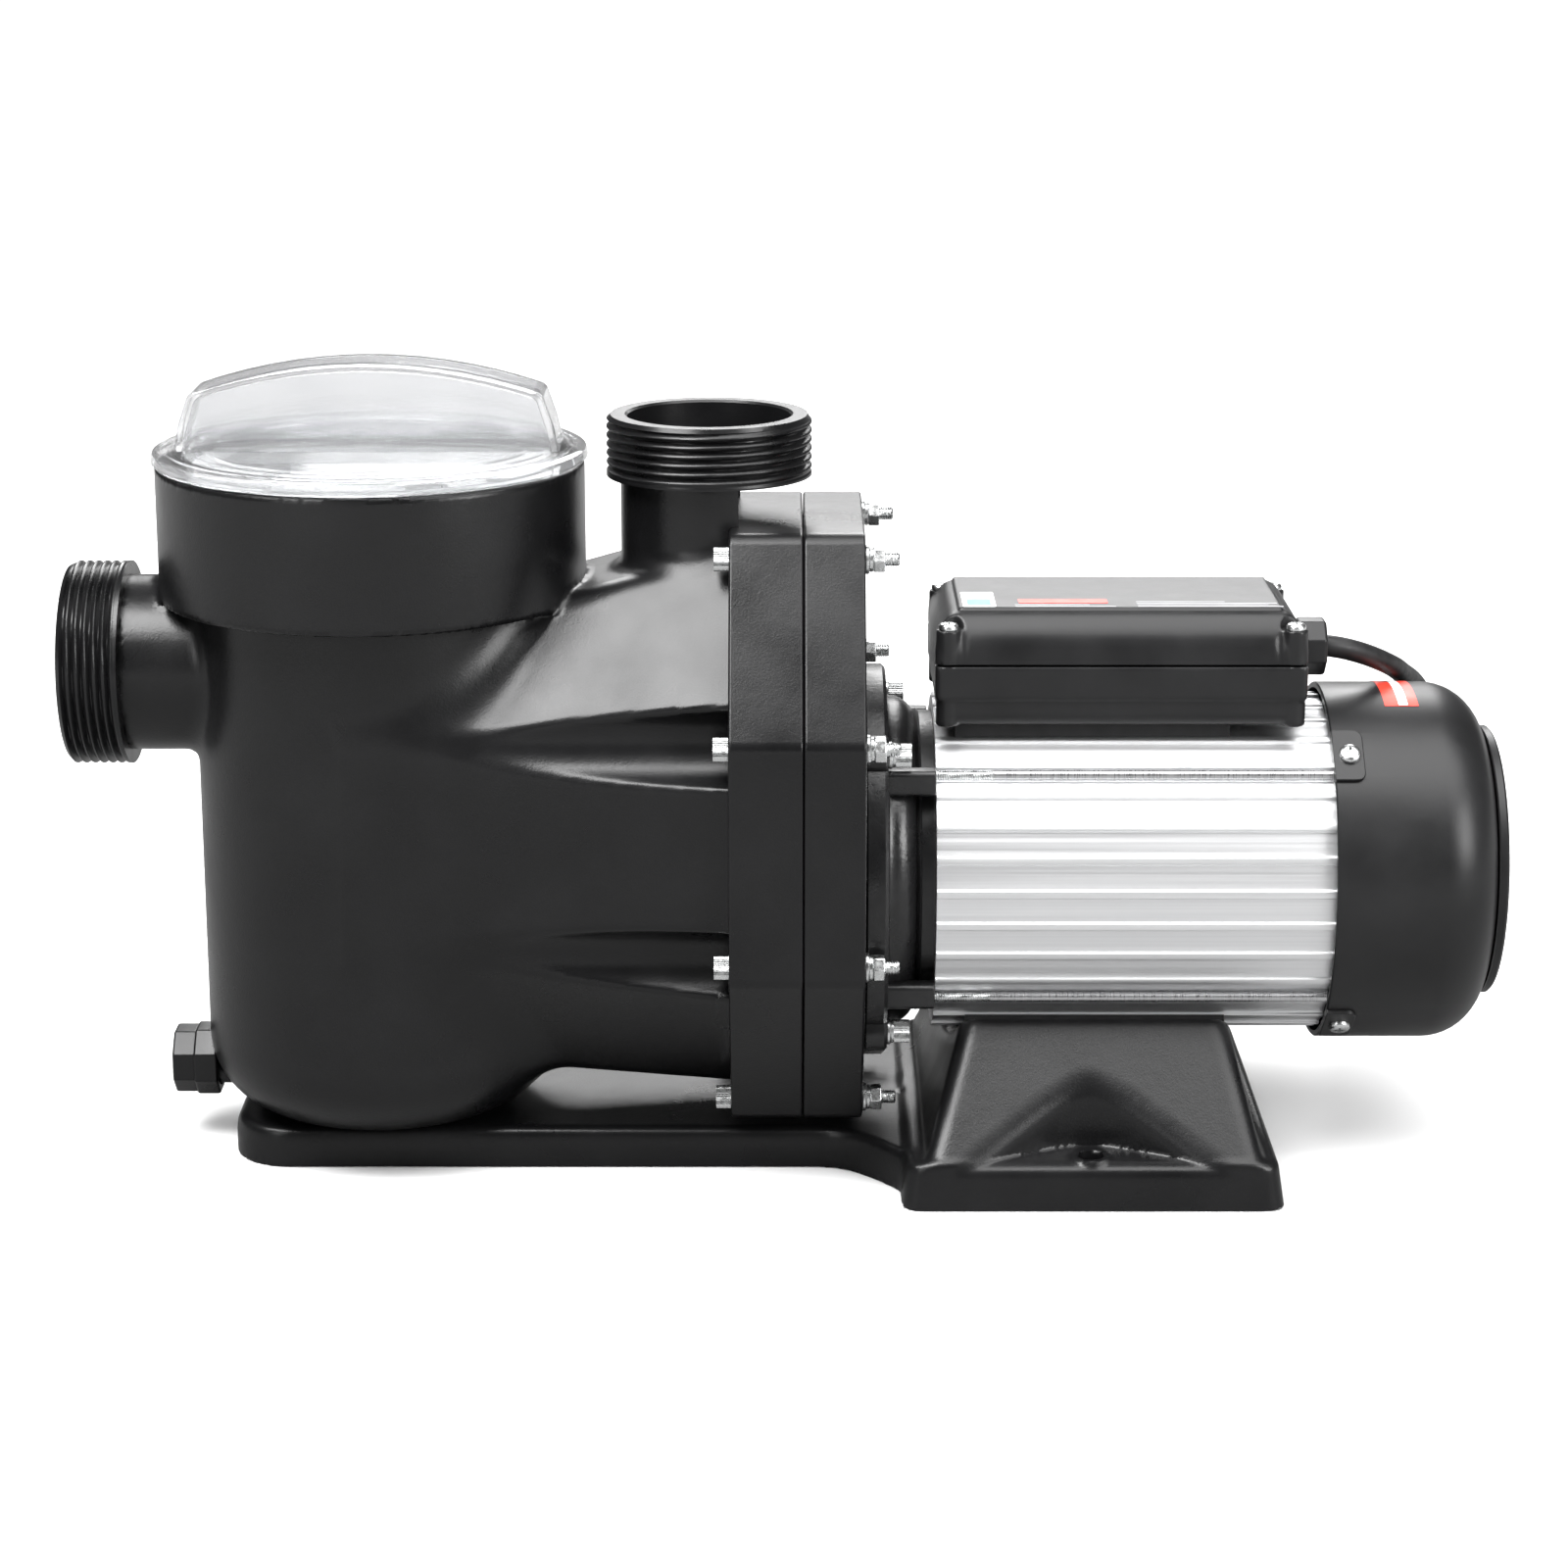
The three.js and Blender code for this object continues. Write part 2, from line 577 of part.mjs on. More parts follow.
function terminalBox() {
  const { from, to, halfWidth, bottom, floor, parting, shelf, wall, draft, step, post } = BOX;
  const outer = join(
    block([from, -halfWidth, bottom + step], [to, halfWidth, parting]),
    block([from + draft, -halfWidth + draft, bottom], [to - draft, halfWidth - draft, bottom + step + 1]),
    block([to - wall, -BOX_TONGUE, parting - 2], [to, BOX_TONGUE, shelf]),
  );
  const inner = block([from + 5, -halfWidth + 5.5, floor], [to - wall, halfWidth - 5.5, shelf + 1]);
  const posts = BOX_SCREW.xs.flatMap((x) => [-1, 1].map((side) => (
    bar(post, floor - 1, parting, { at: [x, side * BOX_SCREW.y, 0], facets: 8 }))));
  const hole = bar(GLAND.thread + GAP, to - 4, to + 1, { axis: 'x', at: [0, 0, GLAND.z], facets: 16 });
  const hollow = bar(MOTOR.radius + SADDLE.thick + 2 * GAP, from - 1, to + 1, onShaft(64));
  return cut(join(cut(outer, inner), ...posts), hole, hollow, ...boxScrewHoles(floor + 3, parting + 1));
}

// Rubber saddle between the box and the round of the motor frame.
function boxGasket() {
  const { halfWidth, top, from, to, thick } = SADDLE;
  const inner = MOTOR.radius + GAP;
  const lean = (radius, y) => THREE.MathUtils.radToDeg(Math.asin(y / radius));
  const flatEdge = Math.sqrt((inner + thick) ** 2 - (top - AXIS_Z) ** 2);
  const [low, high] = [lean(inner, halfWidth), lean(inner + thick, flatEdge)];
  return prism([
    [halfWidth, top], ...arc(0, AXIS_Z, inner + thick, 90 - high, 90 + high, 8), [-halfWidth, top],
    ...arc(0, AXIS_Z, inner, 90 + low, 90 - low, 8),
  ], from, to, 'x');
}

function boxScrewHoles(from, to) {
  return BOX_SCREW.xs.flatMap((x) => [-1, 1].map((side) => (
    bar(2.1, from, to, { at: [x, side * BOX_SCREW.y, 0], facets: 6 }))));
}

function terminalBoxLid() {
  const { from, to, halfWidth, parting, shelf, top, wall, draft, post } = BOX;
  const low = parting + GAP;
  const outer = join(
    block([from, -halfWidth, low], [to, halfWidth, shelf]),
    lofted([shelf - 1, top].map((z, i) => {
      const inset = draft * (1 + i);
      const [x0, x1, y] = [from + inset, to - inset, BOX_LID_PANEL + 4 - 4 * i];
      return [[x0, -y, z], [x1, -y, z], [x1, y, z], [x0, y, z]];
    })),
  );
  const inner = block([from + wall, -halfWidth + wall, low - 1], [to - wall, halfWidth - wall, shelf - wall]);
  const bosses = BOX_SCREW.xs.flatMap((x) => [-1, 1].map((side) => (
    bar(post, low, shelf - 1, { at: [x, side * BOX_SCREW.y, 0], facets: 8 }))));
  const notch = block([to - wall - GAP, -BOX_TONGUE - GAP, low - 1], [to + 1, BOX_TONGUE + GAP, shelf + GAP]);
  return cut(join(cut(outer, inner), ...bosses), notch, ...boxScrewHoles(low - 1, shelf + 1));
}

function boxScrew(x, side) {
  const axis = { at: [x, side * BOX_SCREW.y, 0], facets: 8 };
  return join(bar(1.7, 210, BOX.shelf + 1, axis), bar(4, BOX.shelf + GAP, BOX.shelf + 2.8, axis));
}

function glandNut() {
  return polygonAlongX(GLAND.radius, 8, BOX.to + GAP, GLAND.face, [0, GLAND.z], Math.PI / 8);
}

function glandBody() {
  const axis = { axis: 'x', at: [0, 0, GLAND.z], facets: 16 };
  return join(
    bar(GLAND.thread, BOX.to - 10, BOX.to, axis), bar(13, BOX.to - 7, BOX.to - BOX.wall - GAP, axis),
  );
}

// The cord leaves the gland level, droops over the far shoulder of the fan cover, hangs down behind the
// motor and runs along the floor to its coil.
const cordRoute = [
  [GLAND.face + 1.3, 0, GLAND.z], [241.2, 0.9, 222], [248.1, 3.2, 219.9], [255.1, 6.8, 217],
  [262.4, 13.2, 212.9], [269.1, 23.6, 207.9], [275, 38, 201.8], [281.7, 52.6, 195.2],
  [288.6, 66, 185.8], [293, 77.2, 172.2], [293.7, 85.5, 154.5], [291.3, 90, 134.8],
  [286.6, 92.7, 115.3], [281.6, 96.1, 96.5], [278.3, 101, 78.4], [274.9, 107.6, 61.4],
  [271.8, 116.8, 45.6], [268.9, 129, 31.8], [265.8, 144, 20.4], [261.6, 161, 12], [255.4, 178.4, 7.1],
  [246.6, 195, CORD.floor + 0.3], [234.6, 208.8, CORD.floor], [219.4, 219.2, CORD.floor],
  [202.4, 225.8, CORD.floor], [184, PLUG.y, CORD.floor],
];

function powerCord() {
  const path = new THREE.CatmullRomCurve3(cordRoute.map((place) => vector(...place)), false, 'centripetal');
  const section = new THREE.Shape(polygon(CORD.diameter / 2, 8).map(([u, v]) => new THREE.Vector2(u, v)));
  return solid(new THREE.ExtrudeGeometry(section, { steps: 24, extrudePath: path, bevelEnabled: false }));
}

function cordCoil() {
  return ring(COIL.inner, COIL.outer, 0, COIL.height, { at: [COIL.x, COIL.y, 0], facets: INNER_ROUND });
}

function plug() {
  const { x, y, length, width, height } = PLUG;
  const body = lofted([[x, 0.3], [x - 18, 0.5], [x - 26, 0.95], [x - length, 1]].map(([station, share]) => {
    const [half, tall] = [width / 2 * share, height * (0.35 + 0.65 * share)];
    return [
      [station, y - half, 0], [station, y + half, 0], [station, y + half, tall], [station, y - half, tall],
    ];
  }));
  const pins = [[-7, 12], [7, 12], [0, 5]].map(([side, z]) => (
    block([x - length - 18, y + side - 2, z - 2], [x - length + 1, y + side + 2, z + 2])));
  return join(body, ...pins);
}

// ---------------------------------------------------------------- base

const rectangle = (x0, x1, half, z) => [[x0, -half, z], [x1, -half, z], [x1, half, z], [x0, half, z]];

function baseTongue() {
  const { tongueEnd, tongueHalf, endRadius, footFrom, footHalf, tongueTop } = BASE;
  const left = tongueEnd + endRadius;
  const inner = tongueHalf - endRadius;
  const flare = (side) => [0, 0.33, 0.67, 1].map((share) => [
    footFrom + 6 - 44 * (1 - share), side * (tongueHalf + (footHalf - 4 - tongueHalf) * share ** 2.4),
  ]);
  return prism([
    ...arc(left, -inner, endRadius, 180, 270, 6), ...flare(-1), ...flare(1).reverse(),
    ...arc(left, inner, endRadius, 90, 180, 6),
  ], 0, tongueTop);
}

function footPocket(side) {
  const { x, apexY, halfSpan } = ANCHOR;
  const edge = side * (BASE.footHalf + 5);
  const outline = [[x - halfSpan - 6, edge], [x + halfSpan + 6, edge], [x, side * apexY]];
  return prism(outline, BASE.footTop, 90);
}

// Ribbed underside: small open cells, deeper under the saddle.
function undersideCells() {
  const cells = [];
  for (let x = -200; x < 40; x += 44) {
    cells.push(block([x, -30, -1], [x + 38, 30, BASE.tongueTop - 6]));
  }
  for (let column = 0; column < 3; column += 1) {
    for (let row = -1; row <= 1; row += 1) {
      const [x, y] = [86 + 32 * column, 34 * row];
      cells.push(block([x, y - 14, -1], [x + 27, y + 14, row === 0 ? 40 : 36]));
    }
  }
  return cells;
}

function base() {
  const { footFrom, footTo, footHalf, footTop, draft, saddleFrom, saddleTo, saddleHalf, saddleTop } = BASE;
  const foot = lofted([
    rectangle(footFrom, footTo, footHalf, 0),
    rectangle(footFrom + draft, footTo - draft, footHalf - draft, footTop),
  ]);
  const saddle = lofted([
    rectangle(saddleFrom[0], saddleTo[0], saddleHalf[0], footTop - 1),
    rectangle(saddleFrom[1], saddleTo[1], saddleHalf[1], saddleTop),
  ]);
  const anchors = [-1, 1].map((side) => (
    bar(ANCHOR.hole, -1, footTop + 1, { at: [ANCHOR.x, side * ANCHOR.y, 0], facets: SMALL_ROUND })));
  return cut(
    join(baseTongue(), foot, saddle),
    footPocket(-1), footPocket(1),
    bar(PAD.outside + GAP, footFrom, footTo, onShaft(64)),
    ...anchors,
    ...undersideCells(),
  );
}

// Rubber saddle: an arch segment between the motor frame and the base.
function motorPad() {
  const { inside, outside, halfAngle } = PAD;
  const outline = [
    ...arc(0, AXIS_Z, outside, -90 - halfAngle, -90 + halfAngle, 12),
    ...arc(0, AXIS_Z, inside, -90 + halfAngle, -90 - halfAngle, 12),
  ];
  return prism(outline, BASE.saddleFrom[1], BASE.saddleTo[1], 'x');
}

// ---------------------------------------------------------------- assembly

const FINISH = {
  blackPlastic: [0.55, 0], aluminium: [0.35, 0.9], zinc: [0.35, 0.9], rubber: [0.8, 0], clear: [0.1, 0],
  white: [0.5, 0], steel: [0.4, 0.9], copper: [0.5, 0.6], ceramic: [0.4, 0], castIron: [0.6, 0.4],
  beige: [0.6, 0],
};
const pump = new THREE.Group();

function place(name, body, finish) {
  const [roughness, metalness] = FINISH[finish];
  const material = new THREE.MeshStandardMaterial({ color: COLORS[finish], roughness, metalness });
  const mesh = new THREE.Mesh(geometryOf(body), material);
  mesh.name = name;
  pump.add(mesh);
}

place('base', base(), 'blackPlastic');
place('motor_pad', motorPad(), 'rubber');
place('pump_housing', pumpHousing(), 'blackPlastic');
place('seal_plate', sealPlate(), 'blackPlastic');
place('housing_seal', housingSeal(), 'rubber');
place('diffuser', diffuser(), 'blackPlastic');
place('impeller', impeller(), 'blackPlastic');
place('seal_head', ring(9.2, 17, -5.6, 8, onShaft(INNER_ROUND)), 'steel');
place('seal_seat', ring(10.4, 20.6, 8.3, 19, onShaft(INNER_ROUND)), 'ceramic');
place('lid_seal', lidSeal(), 'rubber');
place('strainer_lid', strainerLid(), 'clear');
place('strainer_basket', strainerBasket(), 'white');
place('drain_cap', drainCap(), 'blackPlastic');
place('drain_gasket', drainGasket(), 'rubber');
boltPlaces.forEach((spot, i) => place(`housing_bolt_${i + 1}`, housingBolt(spot), 'zinc'));

place('front_bracket', frontBracket(), 'castIron');
place('front_bearing', bearing(9.95, 23.5, 42, 56), 'steel');
place('motor_frame', motorFrame(), 'aluminium');
place('stator_core', ring(CORE.inside, CORE.outside, CORE.from, CORE.to, onShaft(INNER_ROUND)), 'steel');
place('winding_front', winding(82, CORE.from - GAP), 'copper');
place('winding_rear', winding(CORE.to + GAP, 218), 'copper');
place('rotor_core', ring(12.3, CORE.rotor, CORE.from, CORE.to, onShaft(INNER_ROUND)), 'steel');
place('shaft', shaft(), 'steel');
place('rear_bracket', rearBracket(), 'castIron');
place('rear_bearing', bearing(8.4, 20, 246.3, 258.3), 'steel');
place('cooling_fan', coolingFan(), 'blackPlastic');
place('fan_cover', fanCover(), 'blackPlastic');
TIE_ROD.angles.forEach((angle, i) => place(`tie_rod_${i + 1}`, tieRod(angle), 'zinc'));
FLANGE_SCREW.angles.forEach((angle, i) => place(`flange_screw_${i + 1}`, flangeScrew(angle), 'zinc'));
COVER_SCREW_ANGLES.forEach((angle, i) => place(`cover_screw_${i + 1}`, coverScrew(angle), 'zinc'));

place('box_gasket', boxGasket(), 'rubber');
place('terminal_box', terminalBox(), 'blackPlastic');
place('terminal_box_lid', terminalBoxLid(), 'blackPlastic');
BOX_SCREW.xs.flatMap((x) => [-1, 1].map((side) => [x, side]))
  .forEach(([x, side], i) => place(`box_screw_${i + 1}`, boxScrew(x, side), 'zinc'));
place('capacitor', bar(15, 90, 150, { axis: 'x', at: [0, 20, 220.5], facets: 16 }), 'beige');
place('terminal_block', block([100, -32, 205.5], [150, -8, 222]), 'beige');
place('gland_body', glandBody(), 'blackPlastic');
place('gland_nut', glandNut(), 'blackPlastic');
place('power_cord', powerCord(), 'rubber');
place('cord_coil', cordCoil(), 'rubber');
place('plug', plug(), 'blackPlastic');

export default pump;
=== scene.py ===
"""Looks of the pool pump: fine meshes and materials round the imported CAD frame.

Shape numbers are in millimetres in the frame's own axes: +X to the motor fan, -X to the suction side,
+Z up, floor at z = 0. mesh_object() turns them into metres.
"""
import json
import math

import bpy
import numpy as np
from mathutils import Matrix, Vector


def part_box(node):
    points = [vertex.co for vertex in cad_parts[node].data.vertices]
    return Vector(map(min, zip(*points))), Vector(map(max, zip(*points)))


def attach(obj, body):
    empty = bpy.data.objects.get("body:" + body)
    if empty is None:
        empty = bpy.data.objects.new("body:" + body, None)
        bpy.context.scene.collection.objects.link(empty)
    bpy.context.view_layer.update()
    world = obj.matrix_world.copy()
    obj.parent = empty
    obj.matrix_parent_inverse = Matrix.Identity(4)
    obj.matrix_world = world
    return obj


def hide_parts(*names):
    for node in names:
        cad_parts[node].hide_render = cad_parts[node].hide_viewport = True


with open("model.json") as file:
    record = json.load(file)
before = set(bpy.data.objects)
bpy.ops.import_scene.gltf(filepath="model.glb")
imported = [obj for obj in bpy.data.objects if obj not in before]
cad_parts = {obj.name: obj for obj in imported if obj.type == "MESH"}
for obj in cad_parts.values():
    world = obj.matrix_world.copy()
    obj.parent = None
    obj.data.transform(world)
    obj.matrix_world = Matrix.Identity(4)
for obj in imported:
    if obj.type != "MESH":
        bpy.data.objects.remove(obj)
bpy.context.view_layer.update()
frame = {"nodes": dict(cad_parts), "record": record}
MM = 0.001
TURN = 2 * math.pi


class Span:
    """A CAD node's box in millimetres."""

    def __init__(self, node):
        low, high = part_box(node)
        (self.x0, self.y0, self.z0), (self.x1, self.y1, self.z1) = (low / MM, high / MM)
        self.x, self.y, self.z = ((low + high) / 2 / MM)


# ---------------------------------------------------------------- sizes

HOUSING, PLATE, BASE = Span("pump_housing"), Span("seal_plate"), Span("base")
LID, BASKET, SEAL = Span("strainer_lid"), Span("strainer_basket"), Span("lid_seal")
MOTOR, COVER, BRACKET = Span("motor_frame"), Span("fan_cover"), Span("front_bracket")
BOX, BOX_LID, NUT = Span("terminal_box"), Span("terminal_box_lid"), Span("gland_nut")
CAP, COIL, PLUG = Span("drain_cap"), Span("cord_coil"), Span("plug")

AXIS_Z = Span("rotor_core").z
ON_SHAFT = (0, 0, AXIS_Z)
POT_X = BASKET.x
POT = {"radius": 77.5, "floor": 18.3, "corner": 34, "cup": 91.6, "cup_from": 247, "rim": 305,
       "inside": 72.5, "cup_inside": 86, "ledge": 258, "inner_floor": 24}
THREAD = {"radius": 44, "root": 42.1, "neck": 38, "bore": 35, "length": 26, "pitch": 3.8}
INLET_Z, DISCHARGE_X = 216, -32
FLANGE_Z = PLATE.z
OCTAGON = {"half": 103, "up": 129.2, "down": 129.2, "top_flat": 51, "side_flat": 51}
VOLUTE = {"half": 95, "up": 119.5, "down": 117, "top_flat": 38, "side_flat": 52}
VOLUTE_AT_POT = {"half": 71.4, "up": 76.3, "down": 104.5, "top_flat": 38, "side_flat": 44}
CHAMBER = {"half": 68, "up": 92, "down": 100, "top_flat": 30, "side_flat": 40}
GROOVE = {"y": 93, "z": 48, "radius": 16.3, "from": -145}
PARTING, FLANGE_BACK = PLATE.x0 - 0.3, Span("housing_bolt_1").x0 + 6.3
DRAIN = {"z": CAP.z, "spigot": 11.3, "boss": 18.8, "seat": -250.7}
RING_DISC = {"radius": 85.9, "to": 44, "bell": 72, "bell_to": 57, "neck": 65.5}
TIE_RODS = {"radius": 74, "thick": 2.2, "groove": 2.9, "angles": (44.5, 135.5, 217, 323)}
FLANGE_SCREWS = {"radius": 84.5, "angles": (47, 133, 225, 315)}
COVER_SCREW_ANGLES = (50, 130, 230, 310)
COVER_SHELL = {"radius": 78, "shoulder": 304, "corner": 25, "wall": 2.5, "disc": 58.8}
FRAME = {"radius": 73.5, "inside": 62, "ribs": 32, "height": 1.4, "width": 2.6, "phase": 2.6}
BOX_SCREWS = {"x": (69.5, 216.2), "y": 40.5}
FOOT = {"from": 49.8, "top": 20, "draft": 3, "tongue": 47, "tongue_top": 18, "end": 26}
POCKET = {"apex": 71, "slope": 34 / 57}
SADDLE = {"left": 60, "right": 203.6, "half": 97, "rise": 53, "in_left": 18, "in_right": 13.6, "in_side": 47}
ANCHOR = {"x": 130.5, "y": 86.7, "hole": 5.5}
CORD_D = 9.5
FINE_GRID = {"housing": 2.0, "base": 1.7, "box": 1.0}
GRID = FINE_GRID


# ---------------------------------------------------------------- meshes

AXES = {
    "x": np.array([[0, 0, 1], [1, 0, 0], [0, 1, 0]], float),
    "y": np.array([[0, 1, 0], [0, 0, 1], [1, 0, 0]], float),
    "z": np.eye(3),
}


def mesh_object(name, points, faces, sharp=35):
    """A linked object from millimetre points, its faces turned outwards and smoothed up to an angle."""
    points = np.asarray(points, float)
    fans = np.array([(f[0], f[i], f[i + 1]) for f in faces for i in range(1, len(f) - 1)])
    a, b, c = (points[fans[:, i]] for i in range(3))
    if np.einsum("ij,ij->i", a, np.cross(b, c)).sum() < 0:
        faces = [face[::-1] for face in faces]
    mesh = bpy.data.meshes.new(name)
    mesh.from_pydata((points * MM).tolist(), [], faces)
    made = bpy.data.objects.new(name, mesh)
    bpy.context.scene.collection.objects.link(made)
    return smoothed(made, sharp)


def smoothed(piece, sharp=35):
    piece.data.shade_smooth()
    piece.data.set_sharp_from_angle(angle=math.radians(sharp))
    return piece


def revolved(name, profile, axis="z", at=(0, 0, 0), segments=96, shape=None, sharp=35, closed=False):
    """A turned body on (radius, station) pairs, whose radii shape(angle, radius, station) may change."""
    angle = np.arange(segments) * TURN / segments
    if closed:
        profile = [*profile, profile[0]]
    points, rings = [], []
    for radius, station in profile[:-1] if closed else profile:
        if radius < 1e-6:
            rings.append([len(points)] * segments)
            points.append((0, 0, station))
            continue
        radii = np.full(segments, float(radius)) if shape is None else shape(angle, radius, station)
        rings.append(list(range(len(points), len(points) + segments)))
        points += zip(radii * np.cos(angle), radii * np.sin(angle), np.full(segments, float(station)))
    if closed:
        rings.append(rings[0])
    faces = []
    for low, high in zip(rings, rings[1:]):
        for i in range(segments):
            j = (i + 1) % segments
            face = list(dict.fromkeys((low[i], low[j], high[j], high[i])))
            if len(face) > 2:
                faces.append(face)
    return mesh_object(name, np.array(points) @ AXES[axis].T + np.array(at, float), faces, sharp)


def prism(name, outline, start, end, axis="z", bevel=0.0, at=(0, 0, 0), sharp=35):
    """A straight body on an outline of (u, v) pairs, with rounded edges when bevel is above 0."""
    count = len(outline)
    points = [(u, v, w) for w in (start, end) for u, v in outline]
    faces = [list(range(count)), list(range(2 * count - 1, count - 1, -1))]
    faces += [[(i + 1) % count, i, i + count, (i + 1) % count + count] for i in range(count)]
    made = mesh_object(name, np.array(points, float) @ AXES[axis].T + np.array(at, float), faces, sharp)
    return bevelled(made, bevel) if bevel else made


def rod(name, radius, start, end, axis="x", at=(0, 0, 0), segments=48):
    """A plain round bar."""
    return revolved(name, [(0, start), (radius, start), (radius, end), (0, end)], axis, at, segments)


def block(name, low, high, bevel=0.0):
    (x0, y0, z0), (x1, y1, z1) = low, high
    return prism(name, [(x0, y0), (x1, y0), (x1, y1), (x0, y1)], z0, z1, bevel=bevel)


def bevelled(piece, width, segments=3):
    piece.data.shade_smooth()
    rounding = piece.modifiers.new("edges", "BEVEL")
    rounding.width = width * MM
    rounding.segments = segments
    rounding.limit_method = "ANGLE"
    rounding.angle_limit = math.radians(30)
    rounding.miter_outer = "MITER_ARC"
    return baked(piece)


def baked(piece):
    """Turns the piece's modifiers into mesh."""
    graph = bpy.context.evaluated_depsgraph_get()
    mesh = bpy.data.meshes.new_from_object(piece.evaluated_get(graph), depsgraph=graph)
    piece.modifiers.clear()
    piece.data = mesh
    return piece


def combined(piece, operation, tools):
    """Joins or cuts the piece with closed tools, which are used up."""
    for tool in tools:
        change = piece.modifiers.new("join", "BOOLEAN")
        change.operation = operation
        change.solver = "MANIFOLD"
        change.object = tool
        baked(piece)
        bpy.data.objects.remove(tool)
    return piece


def joined(piece, *tools):
    """The piece and the tools as one closed body."""
    return combined(piece, "UNION", tools)


def cut(piece, *tools):
    """The piece without what the tools fill."""
    return combined(piece, "DIFFERENCE", tools)


def weighted(piece, sharp=35):
    """Keeps broad flats flat beside small rounds."""
    smoothed(piece, sharp)
    normals = piece.modifiers.new("normals", "WEIGHTED_NORMAL")
    normals.keep_sharp = True
    return piece


def arc(u, v, radius, start, end, steps):
    """Points of an arc, angles in degrees."""
    angles = [math.radians(start + (end - start) * i / steps) for i in range(steps + 1)]
    return [(u + radius * math.cos(a), v + radius * math.sin(a)) for a in angles]


def rounded(points, radii, steps=5, loop=True):
    """An outline with each corner turned into an arc of its own radius."""
    radii = [radii] * len(points) if isinstance(radii, (int, float)) else radii
    made = []
    for i, (corner, radius) in enumerate(zip(points, radii)):
        if radius <= 0 or (not loop and i in (0, len(points) - 1)):
            made.append(tuple(corner))
            continue
        here = np.array(corner, float)
        before = np.array(points[i - 1], float) - here
        after = np.array(points[(i + 1) % len(points)], float) - here
        reach = [np.linalg.norm(before), np.linalg.norm(after)]
        before, after = before / reach[0], after / reach[1]
        half = math.acos(max(-1.0, min(1.0, before @ after))) / 2
        back = min(radius / math.tan(half), 0.49 * min(reach))
        radius = back * math.tan(half)
        centre = here + (before + after) / np.linalg.norm(before + after) * radius / math.sin(half)
        first = here + before * back - centre
        last = here + after * back - centre
        sweep = math.atan2(first[0] * last[1] - first[1] * last[0], first @ last)
        for k in range(steps + 1):
            c, s = math.cos(sweep * k / steps), math.sin(sweep * k / steps)
            made.append((centre[0] + c * first[0] - s * first[1], centre[1] + s * first[0] + c * first[1]))
    return made


def polygon(radius, count, turn=0.0):
    """Corners of a regular polygon, turned by a share of one side."""
    angles = [TURN * (i + turn) / count for i in range(count)]
    return [(radius * math.cos(a), radius * math.sin(a)) for a in angles]


def octagon(size):
    """Eight corners as (y, z) pairs round the flange centre."""
    half, top, side = size["half"], size["top_flat"], size["side_flat"]
    high, low = FLANGE_Z + size["up"], FLANGE_Z - size["down"]
    return [(half, FLANGE_Z - side), (half, FLANGE_Z + side), (top, high), (-top, high),
            (-half, FLANGE_Z + side), (-half, FLANGE_Z - side), (-top, low), (top, low)]


def round_shaft(radius, degrees):
    """Place at a radius and an angle round the shaft, as (y, z). 0 is the near side and 90 the top."""
    return -radius * math.cos(math.radians(degrees)), AXIS_Z + radius * math.sin(math.radians(degrees))


def eased(share):
    """Goes from 0 to 1 with a level start and end."""
    return share * share * (3 - 2 * share)


# ---------------------------------------------------------------- mouldings from distance fields

CUBE = [(i, j, k) for i in (0, 1) for j in (0, 1) for k in (0, 1)]


def smooth_max(a, b, blend):
    """The larger value, rounded off where the two are less than a blend apart."""
    overlap = np.maximum(blend - np.abs(a - b), 0) / blend
    return np.maximum(a, b) + overlap * overlap * blend / 4


def smooth_min(a, b, blend):
    return -smooth_max(-a, -b, blend)


def round_bar(radial, along, radius, start, end, corner):
    """Distance to a cylinder with rounded ends."""
    out = radial - radius + corner
    past = np.abs(along - (start + end) / 2) - (end - start) / 2 + corner
    return np.minimum(np.maximum(out, past), 0) + np.hypot(np.maximum(out, 0), np.maximum(past, 0)) - corner


def round_box(x, y, z, low, high, corner):
    """Distance to a box with rounded edges."""
    sides = [np.abs(p - (a + b) / 2) - (b - a) / 2 + corner for p, a, b in zip((x, y, z), low, high)]
    outside = np.sqrt(sum(np.maximum(q, 0) ** 2 for q in sides))
    return outside + np.minimum(np.maximum(np.maximum(sides[0], sides[1]), sides[2]), 0) - corner


def moulding(name, field, low, high, cell, sharp=60):
    """Closed skin of a distance field: one point per crossed cell, moved onto the surface."""
    axes = [np.arange(a, b + cell, cell) for a, b in zip(low, high)]
    value = field(*np.meshgrid(*axes, indexing="ij", sparse=True))
    inside = value < 0
    shape = [n - 1 for n in value.shape]
    count = sum(inside[i:i + shape[0], j:j + shape[1], k:k + shape[2]].astype(np.int8) for i, j, k in CUBE)
    active = (count > 0) & (count < 8)
    number = np.full(shape, -1)
    number[active] = np.arange(active.sum())
    cells = np.argwhere(active)
    points = (cells + crossing_centres(value, cells)) * cell + np.array(low, float)
    return mesh_object(name, settled(points, field, cell), skin_faces(inside, number), sharp)


def crossing_centres(value, cells):
    """Mean place in each cell of the crossings on the cell's edges."""
    total, crossings = np.zeros((len(cells), 3)), np.zeros(len(cells))
    for first in CUBE:
        for axis in (a for a in range(3) if not first[a]):
            second = tuple(1 if a == axis else first[a] for a in range(3))
            here, there = (value[tuple((cells + c).T)] for c in (first, second))
            crossed = (here < 0) != (there < 0)
            share = np.where(crossed, here / np.where(crossed, here - there, 1), 0)
            place = np.array(first, float) + share[:, None] * (np.array(second) - np.array(first))
            total += place * crossed[:, None]
            crossings += crossed
    return total / crossings[:, None]


